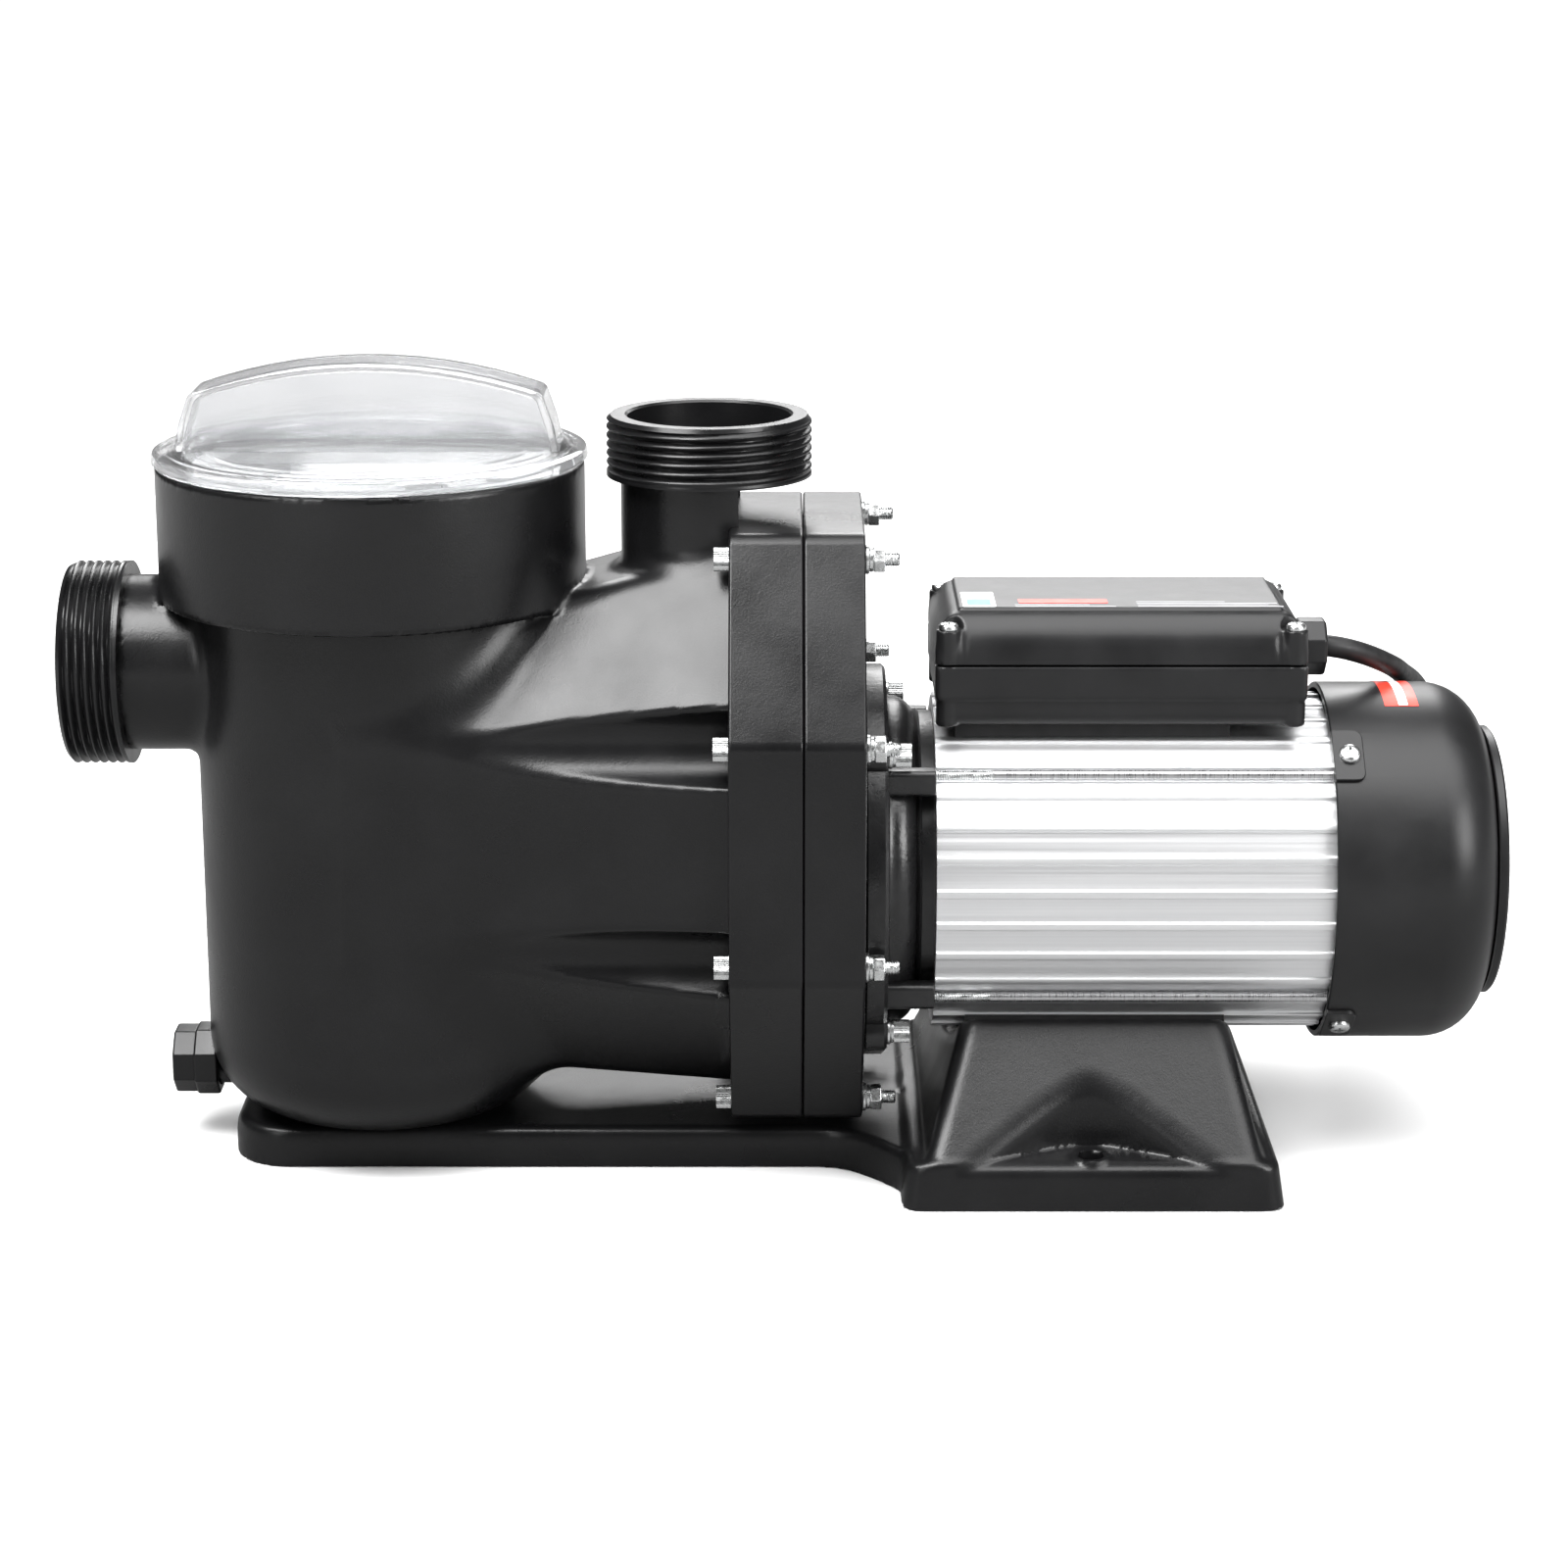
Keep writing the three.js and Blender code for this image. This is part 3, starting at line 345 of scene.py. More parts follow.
def skin_faces(inside, number):
    """One quad round each grid edge that the skin crosses, from the numbers of its four cells."""
    shape, faces = number.shape, []
    for axis in range(3):
        u, v = (a for a in range(3) if a != axis)
        here = inside.take(range(shape[axis]), axis)
        there = inside.take(range(1, shape[axis] + 1), axis)
        spots = np.argwhere(here != there)
        fits = (spots[:, u] > 0) & (spots[:, v] > 0) & (spots[:, u] < shape[u]) & (spots[:, v] < shape[v])
        spots = spots[fits]
        step_u, step_v = np.eye(3, dtype=int)[u], np.eye(3, dtype=int)[v]
        around = (step_u + step_v, step_v, 0 * step_u, step_u)
        quads = np.stack([number[tuple((spots - a).T)] for a in around], axis=1)
        turned = here[tuple(spots.T)] ^ (axis == 1)
        quads[turned] = quads[turned][:, ::-1]
        faces += quads.tolist()
    return faces


def settled(points, field, cell):
    """Newton steps along the field's gradient, none longer than half a cell."""
    nudge = 0.05
    for _ in range(3):
        value = field(*points.T)
        slope = np.stack([(field(*(points + nudge * e).T) - field(*(points - nudge * e).T)) / (2 * nudge)
                          for e in np.eye(3)], axis=1)
        step = slope * (value / np.maximum((slope ** 2).sum(1), 0.05))[:, None]
        length = np.linalg.norm(step, axis=1)[:, None]
        points = points - step * np.minimum(1, 0.5 * cell / np.maximum(length, 1e-9))
    return points


# ---------------------------------------------------------------- materials

PUMP_BLACK, BLACK, ZINC = (0.005, 0.005, 0.0054), (0.009, 0.009, 0.0095), (0.79, 0.8, 0.8)


class Look:
    """A Principled material whose colour, roughness and bump can come from procedural nodes."""

    def __init__(self, name, color, roughness, metallic=0.0, **sockets):
        self.material = bpy.data.materials.new(name)
        self.material.use_nodes = True
        self.nodes, self.links = self.material.node_tree.nodes, self.material.node_tree.links
        self.shader = self.nodes["Principled BSDF"]
        self.set("Base Color", (*color, 1))
        self.set("Roughness", roughness)
        self.set("Metallic", metallic)
        for socket, value in sockets.items():
            self.set(socket.replace("_", " "), value)
        self.place = self.nodes.new("ShaderNodeTexCoord").outputs["Object"]

    def set(self, socket, value):
        self.shader.inputs[socket].default_value = value

    def noise(self, size, stretch=(1, 1, 1), detail=3.0):
        """Noise whose grains are size millimetres across, longer where stretch is above 1."""
        mapping = self.nodes.new("ShaderNodeMapping")
        mapping.inputs["Scale"].default_value = [1 / s for s in stretch]
        texture = self.nodes.new("ShaderNodeTexNoise")
        texture.inputs["Scale"].default_value = 1 / (size * MM)
        texture.inputs["Detail"].default_value = detail
        self.links.new(self.place, mapping.inputs["Vector"])
        self.links.new(mapping.outputs["Vector"], texture.inputs["Vector"])
        return texture.outputs["Fac"]

    def spread(self, source, low, high, start=0.3, end=0.7):
        """Maps a texture onto a range of numbers."""
        ramp = self.nodes.new("ShaderNodeMapRange")
        for socket, value in zip(("From Min", "From Max", "To Min", "To Max"), (start, end, low, high)):
            ramp.inputs[socket].default_value = value
        self.links.new(source, ramp.inputs["Value"])
        return ramp.outputs["Result"]

    def roughness(self, source, low, high):
        self.links.new(self.spread(source, low, high), self.shader.inputs["Roughness"])

    def color(self, source, dark, pale, start=0.3, end=0.7):
        ramp = self.nodes.new("ShaderNodeValToRGB")
        first, last = ramp.color_ramp.elements
        first.position, last.position = start, end
        first.color, last.color = (*dark, 1), (*pale, 1)
        self.links.new(source, ramp.inputs["Fac"])
        self.links.new(ramp.outputs["Color"], self.shader.inputs["Base Color"])

    def bump(self, *layers):
        """Each layer is (texture, height in millimetres)."""
        normal = None
        for source, height in layers:
            bump = self.nodes.new("ShaderNodeBump")
            bump.inputs["Strength"].default_value = 1.0
            bump.inputs["Distance"].default_value = height * MM
            self.links.new(source, bump.inputs["Height"])
            if normal:
                self.links.new(normal, bump.inputs["Normal"])
            normal = bump.outputs["Normal"]
        self.links.new(normal, self.shader.inputs["Normal"])


def shade(color, share):
    """The colour made darker or paler by a factor."""
    return tuple(min(1, c * share) for c in color)


def grained_plastic(name, grain, height, rough, color):
    """Black moulded plastic with a sparkling grain, faint flow marks and rubbed patches."""
    look = Look(name, color, rough, Specular_IOR_Level=0.36)
    fine, patches = look.noise(grain, detail=2), look.noise(38, detail=4)
    look.color(patches, shade(color, 0.8), shade(color, 1.35))
    look.roughness(patches, rough - 0.05, rough + 0.06)
    look.bump((fine, height), (look.noise(grain * 5, detail=1), height * 0.8))
    return look.material


def extruded_aluminium():
    look = Look("aluminium_extrusion", (0.87, 0.875, 0.885), 0.42, 1.0)
    streaks = look.noise(1.2, stretch=(220, 1, 1), detail=3)
    look.color(streaks, (0.83, 0.835, 0.845), (0.9, 0.903, 0.91))
    look.roughness(streaks, 0.38, 0.48)
    look.bump((streaks, 0.006), (look.noise(0.5, detail=2), 0.005))
    return look.material


def plated_zinc():
    look = Look("zinc_plating", ZINC, 0.27, 1.0)
    blotches = look.noise(2.2, detail=4)
    look.color(blotches, shade(ZINC, 0.84), ZINC)
    look.roughness(blotches, 0.21, 0.35)
    look.bump((look.noise(0.4, detail=2), 0.004))
    return look.material


def painted_casting():
    look = Look("painted_casting", (0.008, 0.008, 0.0085), 0.3, Specular_IOR_Level=0.5)
    look.color(look.noise(9), (0.0065, 0.0065, 0.007), (0.012, 0.012, 0.0125))
    look.roughness(look.noise(14), 0.24, 0.4)
    look.bump((look.noise(2.4, detail=2), 0.12), (look.noise(0.7, detail=1), 0.03))
    return look.material


def clear_plastic():
    look = Look("clear_lid", (0.9, 0.91, 0.925), 0.05, IOR=1.45, Transmission_Weight=0.95, Alpha=0.75)
    look.color(look.noise(30), (0.83, 0.835, 0.85), (0.88, 0.885, 0.895))
    look.roughness(look.noise(24), 0.03, 0.1)
    look.bump((look.noise(30, detail=1), 0.05))
    return look.material


def rubber(name, color=BLACK, rough=0.62):
    look = Look(name, color, rough, Specular_IOR_Level=0.35)
    look.color(look.noise(6), shade(color, 0.8), shade(color, 1.5))
    look.roughness(look.noise(3), rough - 0.08, rough + 0.08)
    look.bump((look.noise(0.5, detail=1), 0.02))
    return look.material


def moulded(name, color, rough=0.45):
    look = Look(name, color, rough, Specular_IOR_Level=0.45)
    look.color(look.noise(20), shade(color, 0.93), shade(color, 1.03))
    look.roughness(look.noise(8), rough - 0.05, rough + 0.06)
    look.bump((look.noise(0.6, detail=1), 0.012))
    return look.material


def lathe_turned(name, color, rough):
    """Bare metal with fine turning marks round it."""
    look = Look(name, color, rough, 1.0)
    marks = look.noise(0.5, stretch=(1, 30, 30), detail=2)
    look.color(marks, shade(color, 0.85), color)
    look.roughness(marks, rough - 0.06, rough + 0.08)
    look.bump((marks, 0.01))
    return look.material


LOOKS = {
    "black_plastic": grained_plastic("pump_plastic", 0.9, 0.055, 0.3, PUMP_BLACK),
    "motor_plastic": grained_plastic("motor_plastic", 0.5, 0.02, 0.36, BLACK),
    "aluminium": extruded_aluminium(),
    "zinc": plated_zinc(),
    "cast_iron": painted_casting(),
    "steel": lathe_turned("turned_steel", (0.6, 0.6, 0.61), 0.3),
    "copper": lathe_turned("copper_winding", (0.72, 0.34, 0.18), 0.38),
    "ceramic": moulded("seal_ceramic", (0.76, 0.73, 0.66), 0.3),
    "rubber": rubber("rubber"),
    "clear": clear_plastic(),
    "white_plastic": moulded("basket_plastic", (0.82, 0.83, 0.83), 0.4),
    "beige_plastic": moulded("beige_plastic", (0.62, 0.56, 0.43), 0.45),
    "cable": rubber("cable_jacket", (0.011, 0.011, 0.0115), 0.48),
    "label_white": moulded("label_white", (0.8, 0.81, 0.82), 0.4),
    "label_red": moulded("label_red", (0.72, 0.045, 0.025), 0.4),
    "label_blue": moulded("label_blue", (0.05, 0.25, 0.55), 0.4),
    "print_grey": moulded("print_grey", (0.36, 0.36, 0.37), 0.5),
}


def dressed(piece, look, body="pump", nodes=()):
    """Gives a piece its material, its body and the CAD nodes it stands for."""
    piece.data.materials.clear()
    piece.data.materials.append(LOOKS[look])
    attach(piece, body)
    if nodes:
        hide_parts(*([nodes] if isinstance(nodes, str) else nodes))
    return piece


# ---------------------------------------------------------------- stage

VIEW = {"target": (0, 0, 0.1609), "distance": 1.65, "tilt": math.radians(15), "sensor": 36, "lens": 86.5}


def camera():
    """The viewing angle: square to the side of the pump, and tilted down at it."""
    target, distance, tilt = Vector(VIEW["target"]), VIEW["distance"], VIEW["tilt"]
    data = bpy.data.cameras.new("camera")
    data.sensor_width, data.lens = VIEW["sensor"], VIEW["lens"]
    made = bpy.data.objects.new("camera", data)
    back = Vector((0, -math.cos(tilt), math.sin(tilt)))
    made.location = target + back * distance
    made.rotation_euler = (-back).to_track_quat("-Z", "Y").to_euler()
    bpy.context.scene.collection.objects.link(made)
    bpy.context.scene.camera = made


def softbox(name, place, aim, width, height, watts):
    """A rectangular lamp that points at a place."""
    data = bpy.data.lights.new(name, "AREA")
    data.shape, data.size, data.size_y, data.energy = "RECTANGLE", width, height, watts
    made = bpy.data.objects.new(name, data)
    made.location = place
    made.rotation_euler = (Vector(aim) - Vector(place)).to_track_quat("-Z", "Y").to_euler()
    bpy.context.scene.collection.objects.link(made)


LIGHTS = (
    ("key_light", (-0.9, -0.8, 2.2), (-0.1, 0, 0.15), 1.4, 1.3, 105),
    ("fill_light", (0.7, -0.4, 2.2), (0.1, 0, 0.15), 1.6, 2.0, 55),
    ("front_light", (-1.2, -1.7, 0.9), (-0.05, 0, 0.15), 0.5, 0.9, 6),
    ("side_light", (1.5, -1.1, 0.9), (0.1, 0, 0.15), 0.8, 0.9, 26),
    ("back_light", (0.1, 1.7, 1.2), (0, 0, 0.15), 1.4, 0.9, 30),
)
FLOOR_HALF, FLOOR_THICK = 30000, 20
FLOOR_SEEN, FLOOR_REFLECTED = (0.89, 0.91), 0.24
ROOM_STRENGTH = 0.1
GLOW_FROM, GLOW_TO = 0.9, 2.6


def studio():
    """Two soft lights overhead, weaker ones round the pump, and a pale floor that runs on into white."""
    white_room()
    for light in LIGHTS:
        softbox(*light)
    bpy.context.scene.view_settings.view_transform = "Standard"
    floor = block("floor", (-FLOOR_HALF, -FLOOR_HALF, -FLOOR_THICK), (FLOOR_HALF, FLOOR_HALF, 0))
    floor.data.materials.append(studio_floor())


def white_room():
    """A world that is white where it is looked at and dim as a light."""
    world = bpy.data.worlds.new("studio")
    bpy.context.scene.world = world
    world.use_nodes = True
    nodes, links = world.node_tree.nodes, world.node_tree.links
    seen, lit = nodes["Background"], nodes.new("ShaderNodeBackground")
    for background, strength in ((seen, 1.0), (lit, ROOM_STRENGTH)):
        background.inputs["Color"].default_value = (1, 1, 1, 1)
        background.inputs["Strength"].default_value = strength
    mix, path = nodes.new("ShaderNodeMixShader"), nodes.new("ShaderNodeLightPath")
    links.new(path.outputs["Is Camera Ray"], mix.inputs["Fac"])
    links.new(lit.outputs["Background"], mix.inputs[1])
    links.new(seen.outputs["Background"], mix.inputs[2])
    links.new(mix.outputs["Shader"], nodes["World Output"].inputs["Surface"])


def studio_floor():
    """White where it is looked at, greyer where it is reflected, and glowing faintly far from the pump."""
    look = Look("studio_floor", (0.9, 0.9, 0.9), 0.9, Specular_IOR_Level=0.1)
    dark, pale = FLOOR_SEEN
    look.color(look.noise(4000), (dark, dark, dark), (pale, pale, pale))
    white = look.shader.inputs["Base Color"].links[0].from_socket
    path, mix = look.nodes.new("ShaderNodeLightPath"), look.nodes.new("ShaderNodeMix")
    mix.data_type = "RGBA"
    mix.inputs[6].default_value = (FLOOR_REFLECTED, FLOOR_REFLECTED, FLOOR_REFLECTED, 1)
    look.links.new(path.outputs["Is Camera Ray"], mix.inputs[0])
    look.links.new(white, mix.inputs[7])
    look.links.new(mix.outputs[2], look.shader.inputs["Base Color"])
    reach = look.nodes.new("ShaderNodeVectorMath")
    reach.operation = "LENGTH"
    look.links.new(look.place, reach.inputs[0])
    look.set("Emission Color", (1, 1, 1, 1))
    glow = look.spread(reach.outputs["Value"], 0.0, 1.0, GLOW_FROM, GLOW_TO)
    look.links.new(glow, look.shader.inputs["Emission Strength"])
    return look.material


# ---------------------------------------------------------------- cord

CORD_ROUTE = [
    (235.9, 0, 223), (241.2, 0.9, 222), (248.1, 3.2, 219.9), (255.1, 6.8, 217), (262.4, 13.2, 212.9),
    (269.1, 23.6, 207.9), (275, 38, 201.8), (281.7, 52.6, 195.2), (288.6, 66, 185.8), (293, 77.2, 172.2),
    (293.7, 85.5, 154.5), (291.3, 90, 134.8), (286.6, 92.7, 115.3), (281.6, 96.1, 96.5),
    (278.3, 101, 78.4), (274.9, 107.6, 61.4), (271.8, 116.8, 45.6), (268.9, 129, 31.8), (265.8, 144, 20.4),
    (261.6, 161, 12), (255.4, 178.4, 7.1), (246.6, 195, 5.3), (234.6, 208.8, 5), (219.4, 219.2, 5),
    (202.4, 225.8, 5), (184, 228.2, 5),
]
COIL_TURNS, TURN_POINTS = 4, 36
CORD_LIES = 5.0


def coil_points():
    """Two turns spiralling inwards on the floor, then two on top of them spiralling outwards."""
    outer = CORD_ROUTE[-1][1] - COIL.y
    points = []
    for i in range(1, COIL_TURNS * TURN_POINTS + 1):
        turn = i / TURN_POINTS
        inward = min(turn, COIL_TURNS - turn)
        radius = outer - CORD_D * inward
        climb = min(max((turn - COIL_TURNS / 2 + 0.25) / 0.5, 0), 1)
        angle = TURN * (0.25 + turn)
        x, y = COIL.x + radius * math.cos(angle), COIL.y + radius * math.sin(angle)
        points.append((x, y, CORD_LIES + CORD_D * eased(climb)))
    return points


def spline_through(route, step=6.0):
    """Centripetal Catmull-Rom points through a given route."""
    route = [np.array(p, float) for p in route]
    route = [2 * route[0] - route[1], *route, 2 * route[-1] - route[-2]]
    points = []
    for p0, p1, p2, p3 in zip(route, route[1:], route[2:], route[3:]):
        knots = np.cumsum([0] + [np.linalg.norm(b - a) ** 0.5 for a, b in ((p0, p1), (p1, p2), (p2, p3))])
        count = max(2, round(np.linalg.norm(p2 - p1) / step))
        for t in np.linspace(knots[1], knots[2], count, endpoint=False):
            level = [p0, p1, p2, p3]
            for width in (1, 2, 3):
                level = [(level[i] * (knots[i + width] - t) + level[i + 1] * (t - knots[i]))
                         / (knots[i + width] - knots[i]) for i in range(4 - width)]
            points.append(level[0])
    return [*points, route[-2]]


def tail_points():
    """From the top of the coil down to the plug."""
    start_x, start_z = COIL.x - 10, CORD_LIES + CORD_D
    end_x, end_z = PLUG.x1 - 1, 5.45
    y = CORD_ROUTE[-1][1]
    points = [(COIL.x - 5, y, start_z)]
    for share in np.linspace(0, 1, 9):
        points.append((start_x + (end_x - start_x) * share, y, start_z + (end_z - start_z) * eased(share)))
    return points


def power_cord():
    """One jacket from the gland to the plug, round the whole route."""
    route = [(NUT.x1 - 4, 0, CORD_ROUTE[0][2])] + [tuple(p) for p in spline_through(CORD_ROUTE)]
    route += coil_points() + tail_points()
    data = bpy.data.curves.new("power_cord_jacket", "CURVE")
    data.dimensions = "3D"
    data.bevel_depth = CORD_D / 2 * MM
    data.bevel_resolution = 5
    data.use_fill_caps = True
    spline = data.splines.new("POLY")
    spline.points.add(len(route) - 1)
    for point, place in zip(spline.points, route):
        point.co = (*(c * MM for c in place), 1)
    spline.use_smooth = True
    cord = bpy.data.objects.new("power_cord_jacket", data)
    bpy.context.scene.collection.objects.link(cord)
    return dressed(cord, "cable", nodes=("power_cord", "cord_coil"))


def coil_tie():
    """A flat strap round the four passes of the coil, on the side away from the pump."""
    inner = COIL.y - CORD_ROUTE[-1][1] + 2 * CORD_D
    low, high = -inner - CORD_D / 2 - 1.2, -inner + 2 * CORD_D - CORD_D / 2 + 1.4
    top = CORD_LIES + 1.5 * CORD_D + 1.0
    outside = rounded([(low, 0.05), (high, 0.05), (high, top), (low, top)], 4.5)
    inside = rounded([(low + 1, 0.2), (high - 1, 0.2), (high - 1, top - 1), (low + 1, top - 1)], 3.8)
    width = 6
    band = prism("coil_tie", outside, -width, width, "x")
    cut(band, prism("hollow", inside, -width - 1, width + 1, "x"))
    tab = rounded([(-4, -4), (4, -4), (4, 4), (-4, 4)], 1.5)
    joined(band, prism("tie_tab", tab, top - 0.6, top + 2.2, bevel=0.5, at=(0, (low + high) / 2, 0)))
    turn = Matrix.Rotation(math.radians(-60), 4, "Z")
    band.data.transform(Matrix.Translation(Vector((COIL.x, COIL.y, 0)) * MM) @ turn)
    return dressed(weighted(band), "rubber")


def mains_plug():
    """Moulded plug with a ribbed strain relief, two flat blades and a round earth pin."""
    x1, x0, y = PLUG.x1, PLUG.x0 + 18, PLUG.y
    half, tall = (PLUG.y1 - PLUG.y0) / 2, PLUG.z1

    def field(px, py, pz):
        share = eased(np.clip((x1 - px) / 26, 0, 1))
        wide, high = half * (0.4 + 0.6 * share), tall * (0.45 + 0.55 * share)
        groove = 0.7 * np.clip(1 - np.abs(((x1 - px) % 4.2) - 2.1) / 0.9, 0, 1) * (x1 - px < 24)
        side = np.abs(py - y) - wide + groove
        ends = np.abs(px - (x0 + x1) / 2) - (x1 - x0) / 2
        skin = smooth_max(smooth_max(side, np.abs(pz - high / 2) - high / 2 + groove * 0.5, 7), ends, 4)
        for middle in (y + half + 1, y - half - 1):
            grip = round_box(px, py, pz, (x0 + 10, middle - 3, 4), (x1 - 30, middle + 3, tall - 4), 2)
            skin = smooth_max(skin, -grip, 1.5)
        return skin

    body = moulding("mains_plug", field, (x0 - 3, y - half - 3, -2), (x1 + 3, y + half + 3, tall + 3), 1.0)
    dressed(body, "motor_plastic", nodes="plug")
    blades = [block(f"blade_{i}", (PLUG.x0, y + side - 0.8, 8.5), (x0 + 1, y + side + 0.8, 15), 0.35)
              for i, side in enumerate((-6.4, 6.4))]
    tip = [(0, PLUG.x0), (1.2, PLUG.x0), (2.35, PLUG.x0 + 2), (2.35, x0 + 1), (0, x0 + 1)]
    earth = revolved("earth_pin", tip, "x", (0, y, 5), 24)
    for pin in (*blades, earth):
        pin.data.materials.append(LOOKS["zinc"])
        pin.parent = body
    return body


# ---------------------------------------------------------------- pump housing

def octagon_field(y, z, size):
    """Distance to an octagonal bar round the flange centre; the sizes may change along it."""
    up, down = z - FLANGE_Z - size["up"], FLANGE_Z - z - size["down"]
    side = np.abs(y) - size["half"]
    run = size["half"] - size["top_flat"]
    faces = smooth_max(smooth_max(up, down, 4), side, 5)
    for height, reach in ((z - FLANGE_Z, size["up"]), (FLANGE_Z - z, size["down"])):
        rise = reach - size["side_flat"]
        slant = (side * rise + (height - size["side_flat"]) * run) / np.hypot(rise, run)
        faces = smooth_max(faces, slant, 6)
    return faces


def volute_field(x, y, z):
    """Octagonal body that narrows from the flange into the pot, grooved for the heads of the side bolts."""
    share = (x - FLANGE_BACK) / (POT_X - FLANGE_BACK)
    size = {key: VOLUTE[key] + (VOLUTE_AT_POT[key] - VOLUTE[key]) * share for key in VOLUTE}
    skin = np.maximum(octagon_field(y, z, size), np.maximum(x - FLANGE_BACK - 3, POT_X - x))
    groove = np.hypot(np.abs(y) - GROOVE["y"], np.abs(z - FLANGE_Z) - GROOVE["z"]) - GROOVE["radius"]
    return smooth_max(skin, -np.maximum(groove, GROOVE["from"] - x), 2.5)


def housing_field(x, y, z):
    """Pot with its cup, volute, two pipe necks and drain spigot, less the water spaces."""
    from_pot, from_inlet = np.hypot(x - POT_X, y), np.hypot(y, z - INLET_Z)
    from_outlet, from_drain = np.hypot(x - DISCHARGE_X, y), np.hypot(y, z - DRAIN["z"])
    pot = round_bar(from_pot, z, POT["radius"], POT["floor"], POT["rim"] - 3, POT["corner"])
    cup = round_bar(from_pot, z, POT["cup"], POT["cup_from"], POT["rim"], 1.6)
    inlet = round_bar(from_inlet, x, THREAD["neck"], HOUSING.x0 + THREAD["length"] - 2, POT_X, 1)
    outlet = round_bar(from_outlet, z, THREAD["neck"], FLANGE_Z, HOUSING.z1 - THREAD["length"] + 2, 1)
    seat = np.maximum(from_drain - DRAIN["boss"], x - DRAIN["seat"])
    spigot = round_bar(from_drain, x, DRAIN["spigot"], DRAIN["seat"] - 7, DRAIN["seat"] + 30, 1)
    skin = smooth_min(pot, volute_field(x, y, z), 16)
    skin = smooth_min(smooth_min(skin, outlet, 7), inlet, 6)
    skin = smooth_min(smooth_min(smooth_max(skin, -seat, 1.5), spigot, 1.5), cup, 2.5)
    hollows = (
        round_bar(from_pot, z, POT["inside"], POT["inner_floor"], 400, POT["corner"] - 5),
        round_bar(from_pot, z, POT["cup_inside"], POT["ledge"], 400, 1),
        round_bar(from_inlet, x, THREAD["bore"], -400, POT_X, 1),
        round_bar(from_outlet, z, THREAD["bore"], FLANGE_Z, 400, 1),
        np.maximum(octagon_field(y, z, CHAMBER), -94 - x),
        round_bar(np.hypot(y, z - AXIS_Z), x, 27, POT_X, -80, 1),
        round_bar(from_drain, x, 6, -400, POT_X, 1),
    )
    for hollow in hollows:
        skin = smooth_max(skin, -hollow, 1.2)
    return skin


def threaded_stub(name, axis, at, start, face):
    """Union thread: a rounded helical ridge with a chamfered mouth, on a plain bore."""
    way = 1 if face > start else -1
    length, pitch = abs(face - start), THREAD["pitch"]
    depth = THREAD["radius"] - THREAD["root"]

    def ridge(angle, radius, station):
        if radius < THREAD["neck"] + 1:
            return np.full(len(angle), radius)
        along = abs(station - start)
        wave = 0.5 + 0.5 * np.cos(TURN * (along / pitch - way * angle / TURN))
        fade = min(1, (along - 1) / 2.5, (length - along) / 2.5)
        return radius + depth * (wave ** 0.7 - 1) * max(fade, 0)

    steps = np.linspace(0.0, length - 1.8, 64)
    outside = [(THREAD["radius"], start + way * s) for s in steps]
    profile = [(THREAD["bore"], start), (THREAD["neck"], start), *outside, (THREAD["radius"] - 1.9, face),
               (THREAD["bore"] + 1, face), (THREAD["bore"], face - way)]
    return revolved(name, profile, axis, at, 128, ridge, sharp=32, closed=True)


def pump_housing():
    """The moulding, its octagonal flange and the two union threads."""
    low = (HOUSING.x0 + 18, -100, 15)
    high = (FLANGE_BACK + 4, 100, HOUSING.z1 - 18)
    body = moulding("housing_body", housing_field, low, high, GRID["housing"])
    dressed(body, "black_plastic", nodes="pump_housing")
    flange = prism("housing_flange", rounded(octagon(OCTAGON), 9), FLANGE_BACK, PARTING, "x", 1.2)
    cut(flange, prism("hollow", octagon(CHAMBER), FLANGE_BACK - 1, PARTING + 1, "x"))
    length = THREAD["length"]
    stubs = [
        threaded_stub("suction_thread", "x", (0, 0, INLET_Z), HOUSING.x0 + length, HOUSING.x0),
        threaded_stub("discharge_thread", "z", (DISCHARGE_X, 0, 0), HOUSING.z1 - length, HOUSING.z1),
    ]
    for piece in (weighted(flange), *stubs):
        dressed(piece, "black_plastic")


def seal_plate():
    """Octagonal plate behind the flange, with the shaft's bore and the seal's seat."""
    plate = prism("volute_cover", rounded(octagon(OCTAGON), 9), PLATE.x0, PLATE.x1, "x", 1.2)
    for radius, end in ((15, PLATE.x1 + 1), (21.2, PLATE.x0 + 11)):
        cut(plate, rod("bore", radius, PLATE.x0 - 1, end, "x", ON_SHAFT, 64))
    return dressed(weighted(plate), "black_plastic", nodes="seal_plate")


def drain_cap():
    """Octagonal cap in two steps, each side rising to a ridge."""
    middle = (CAP.x0 + CAP.x1) / 2
    across = (CAP.z1 - CAP.z0) / 2
    at = (0, 0, DRAIN["z"])
    parts = []
    for start, end, share in ((CAP.x0, middle + 0.5, 0.94), (middle - 0.5, CAP.x1, 1.0)):
        outline = rounded(polygon(across * share, 8, 0.5), 1.5, 3)
        parts.append(prism("drain_cap_shell", outline, start, end, "x", 1.2, at))
    cap = joined(*parts)
    cut(cap, rod("hollow", DRAIN["spigot"] + 1, CAP.x1 - 9, CAP.x1 + 1, "x", at))
    return dressed(weighted(cap), "black_plastic", "drain_plug", nodes="drain_cap")


# ---------------------------------------------------------------- lid and basket

LID_TOP, LID_RINGS = 311, (86, 78, 70)
HANDLE = {"half": 84, "thick": 16.5, "wall": 3, "foot": 300, "shoulder": 322, "lean": 4.4, "arch": 75}


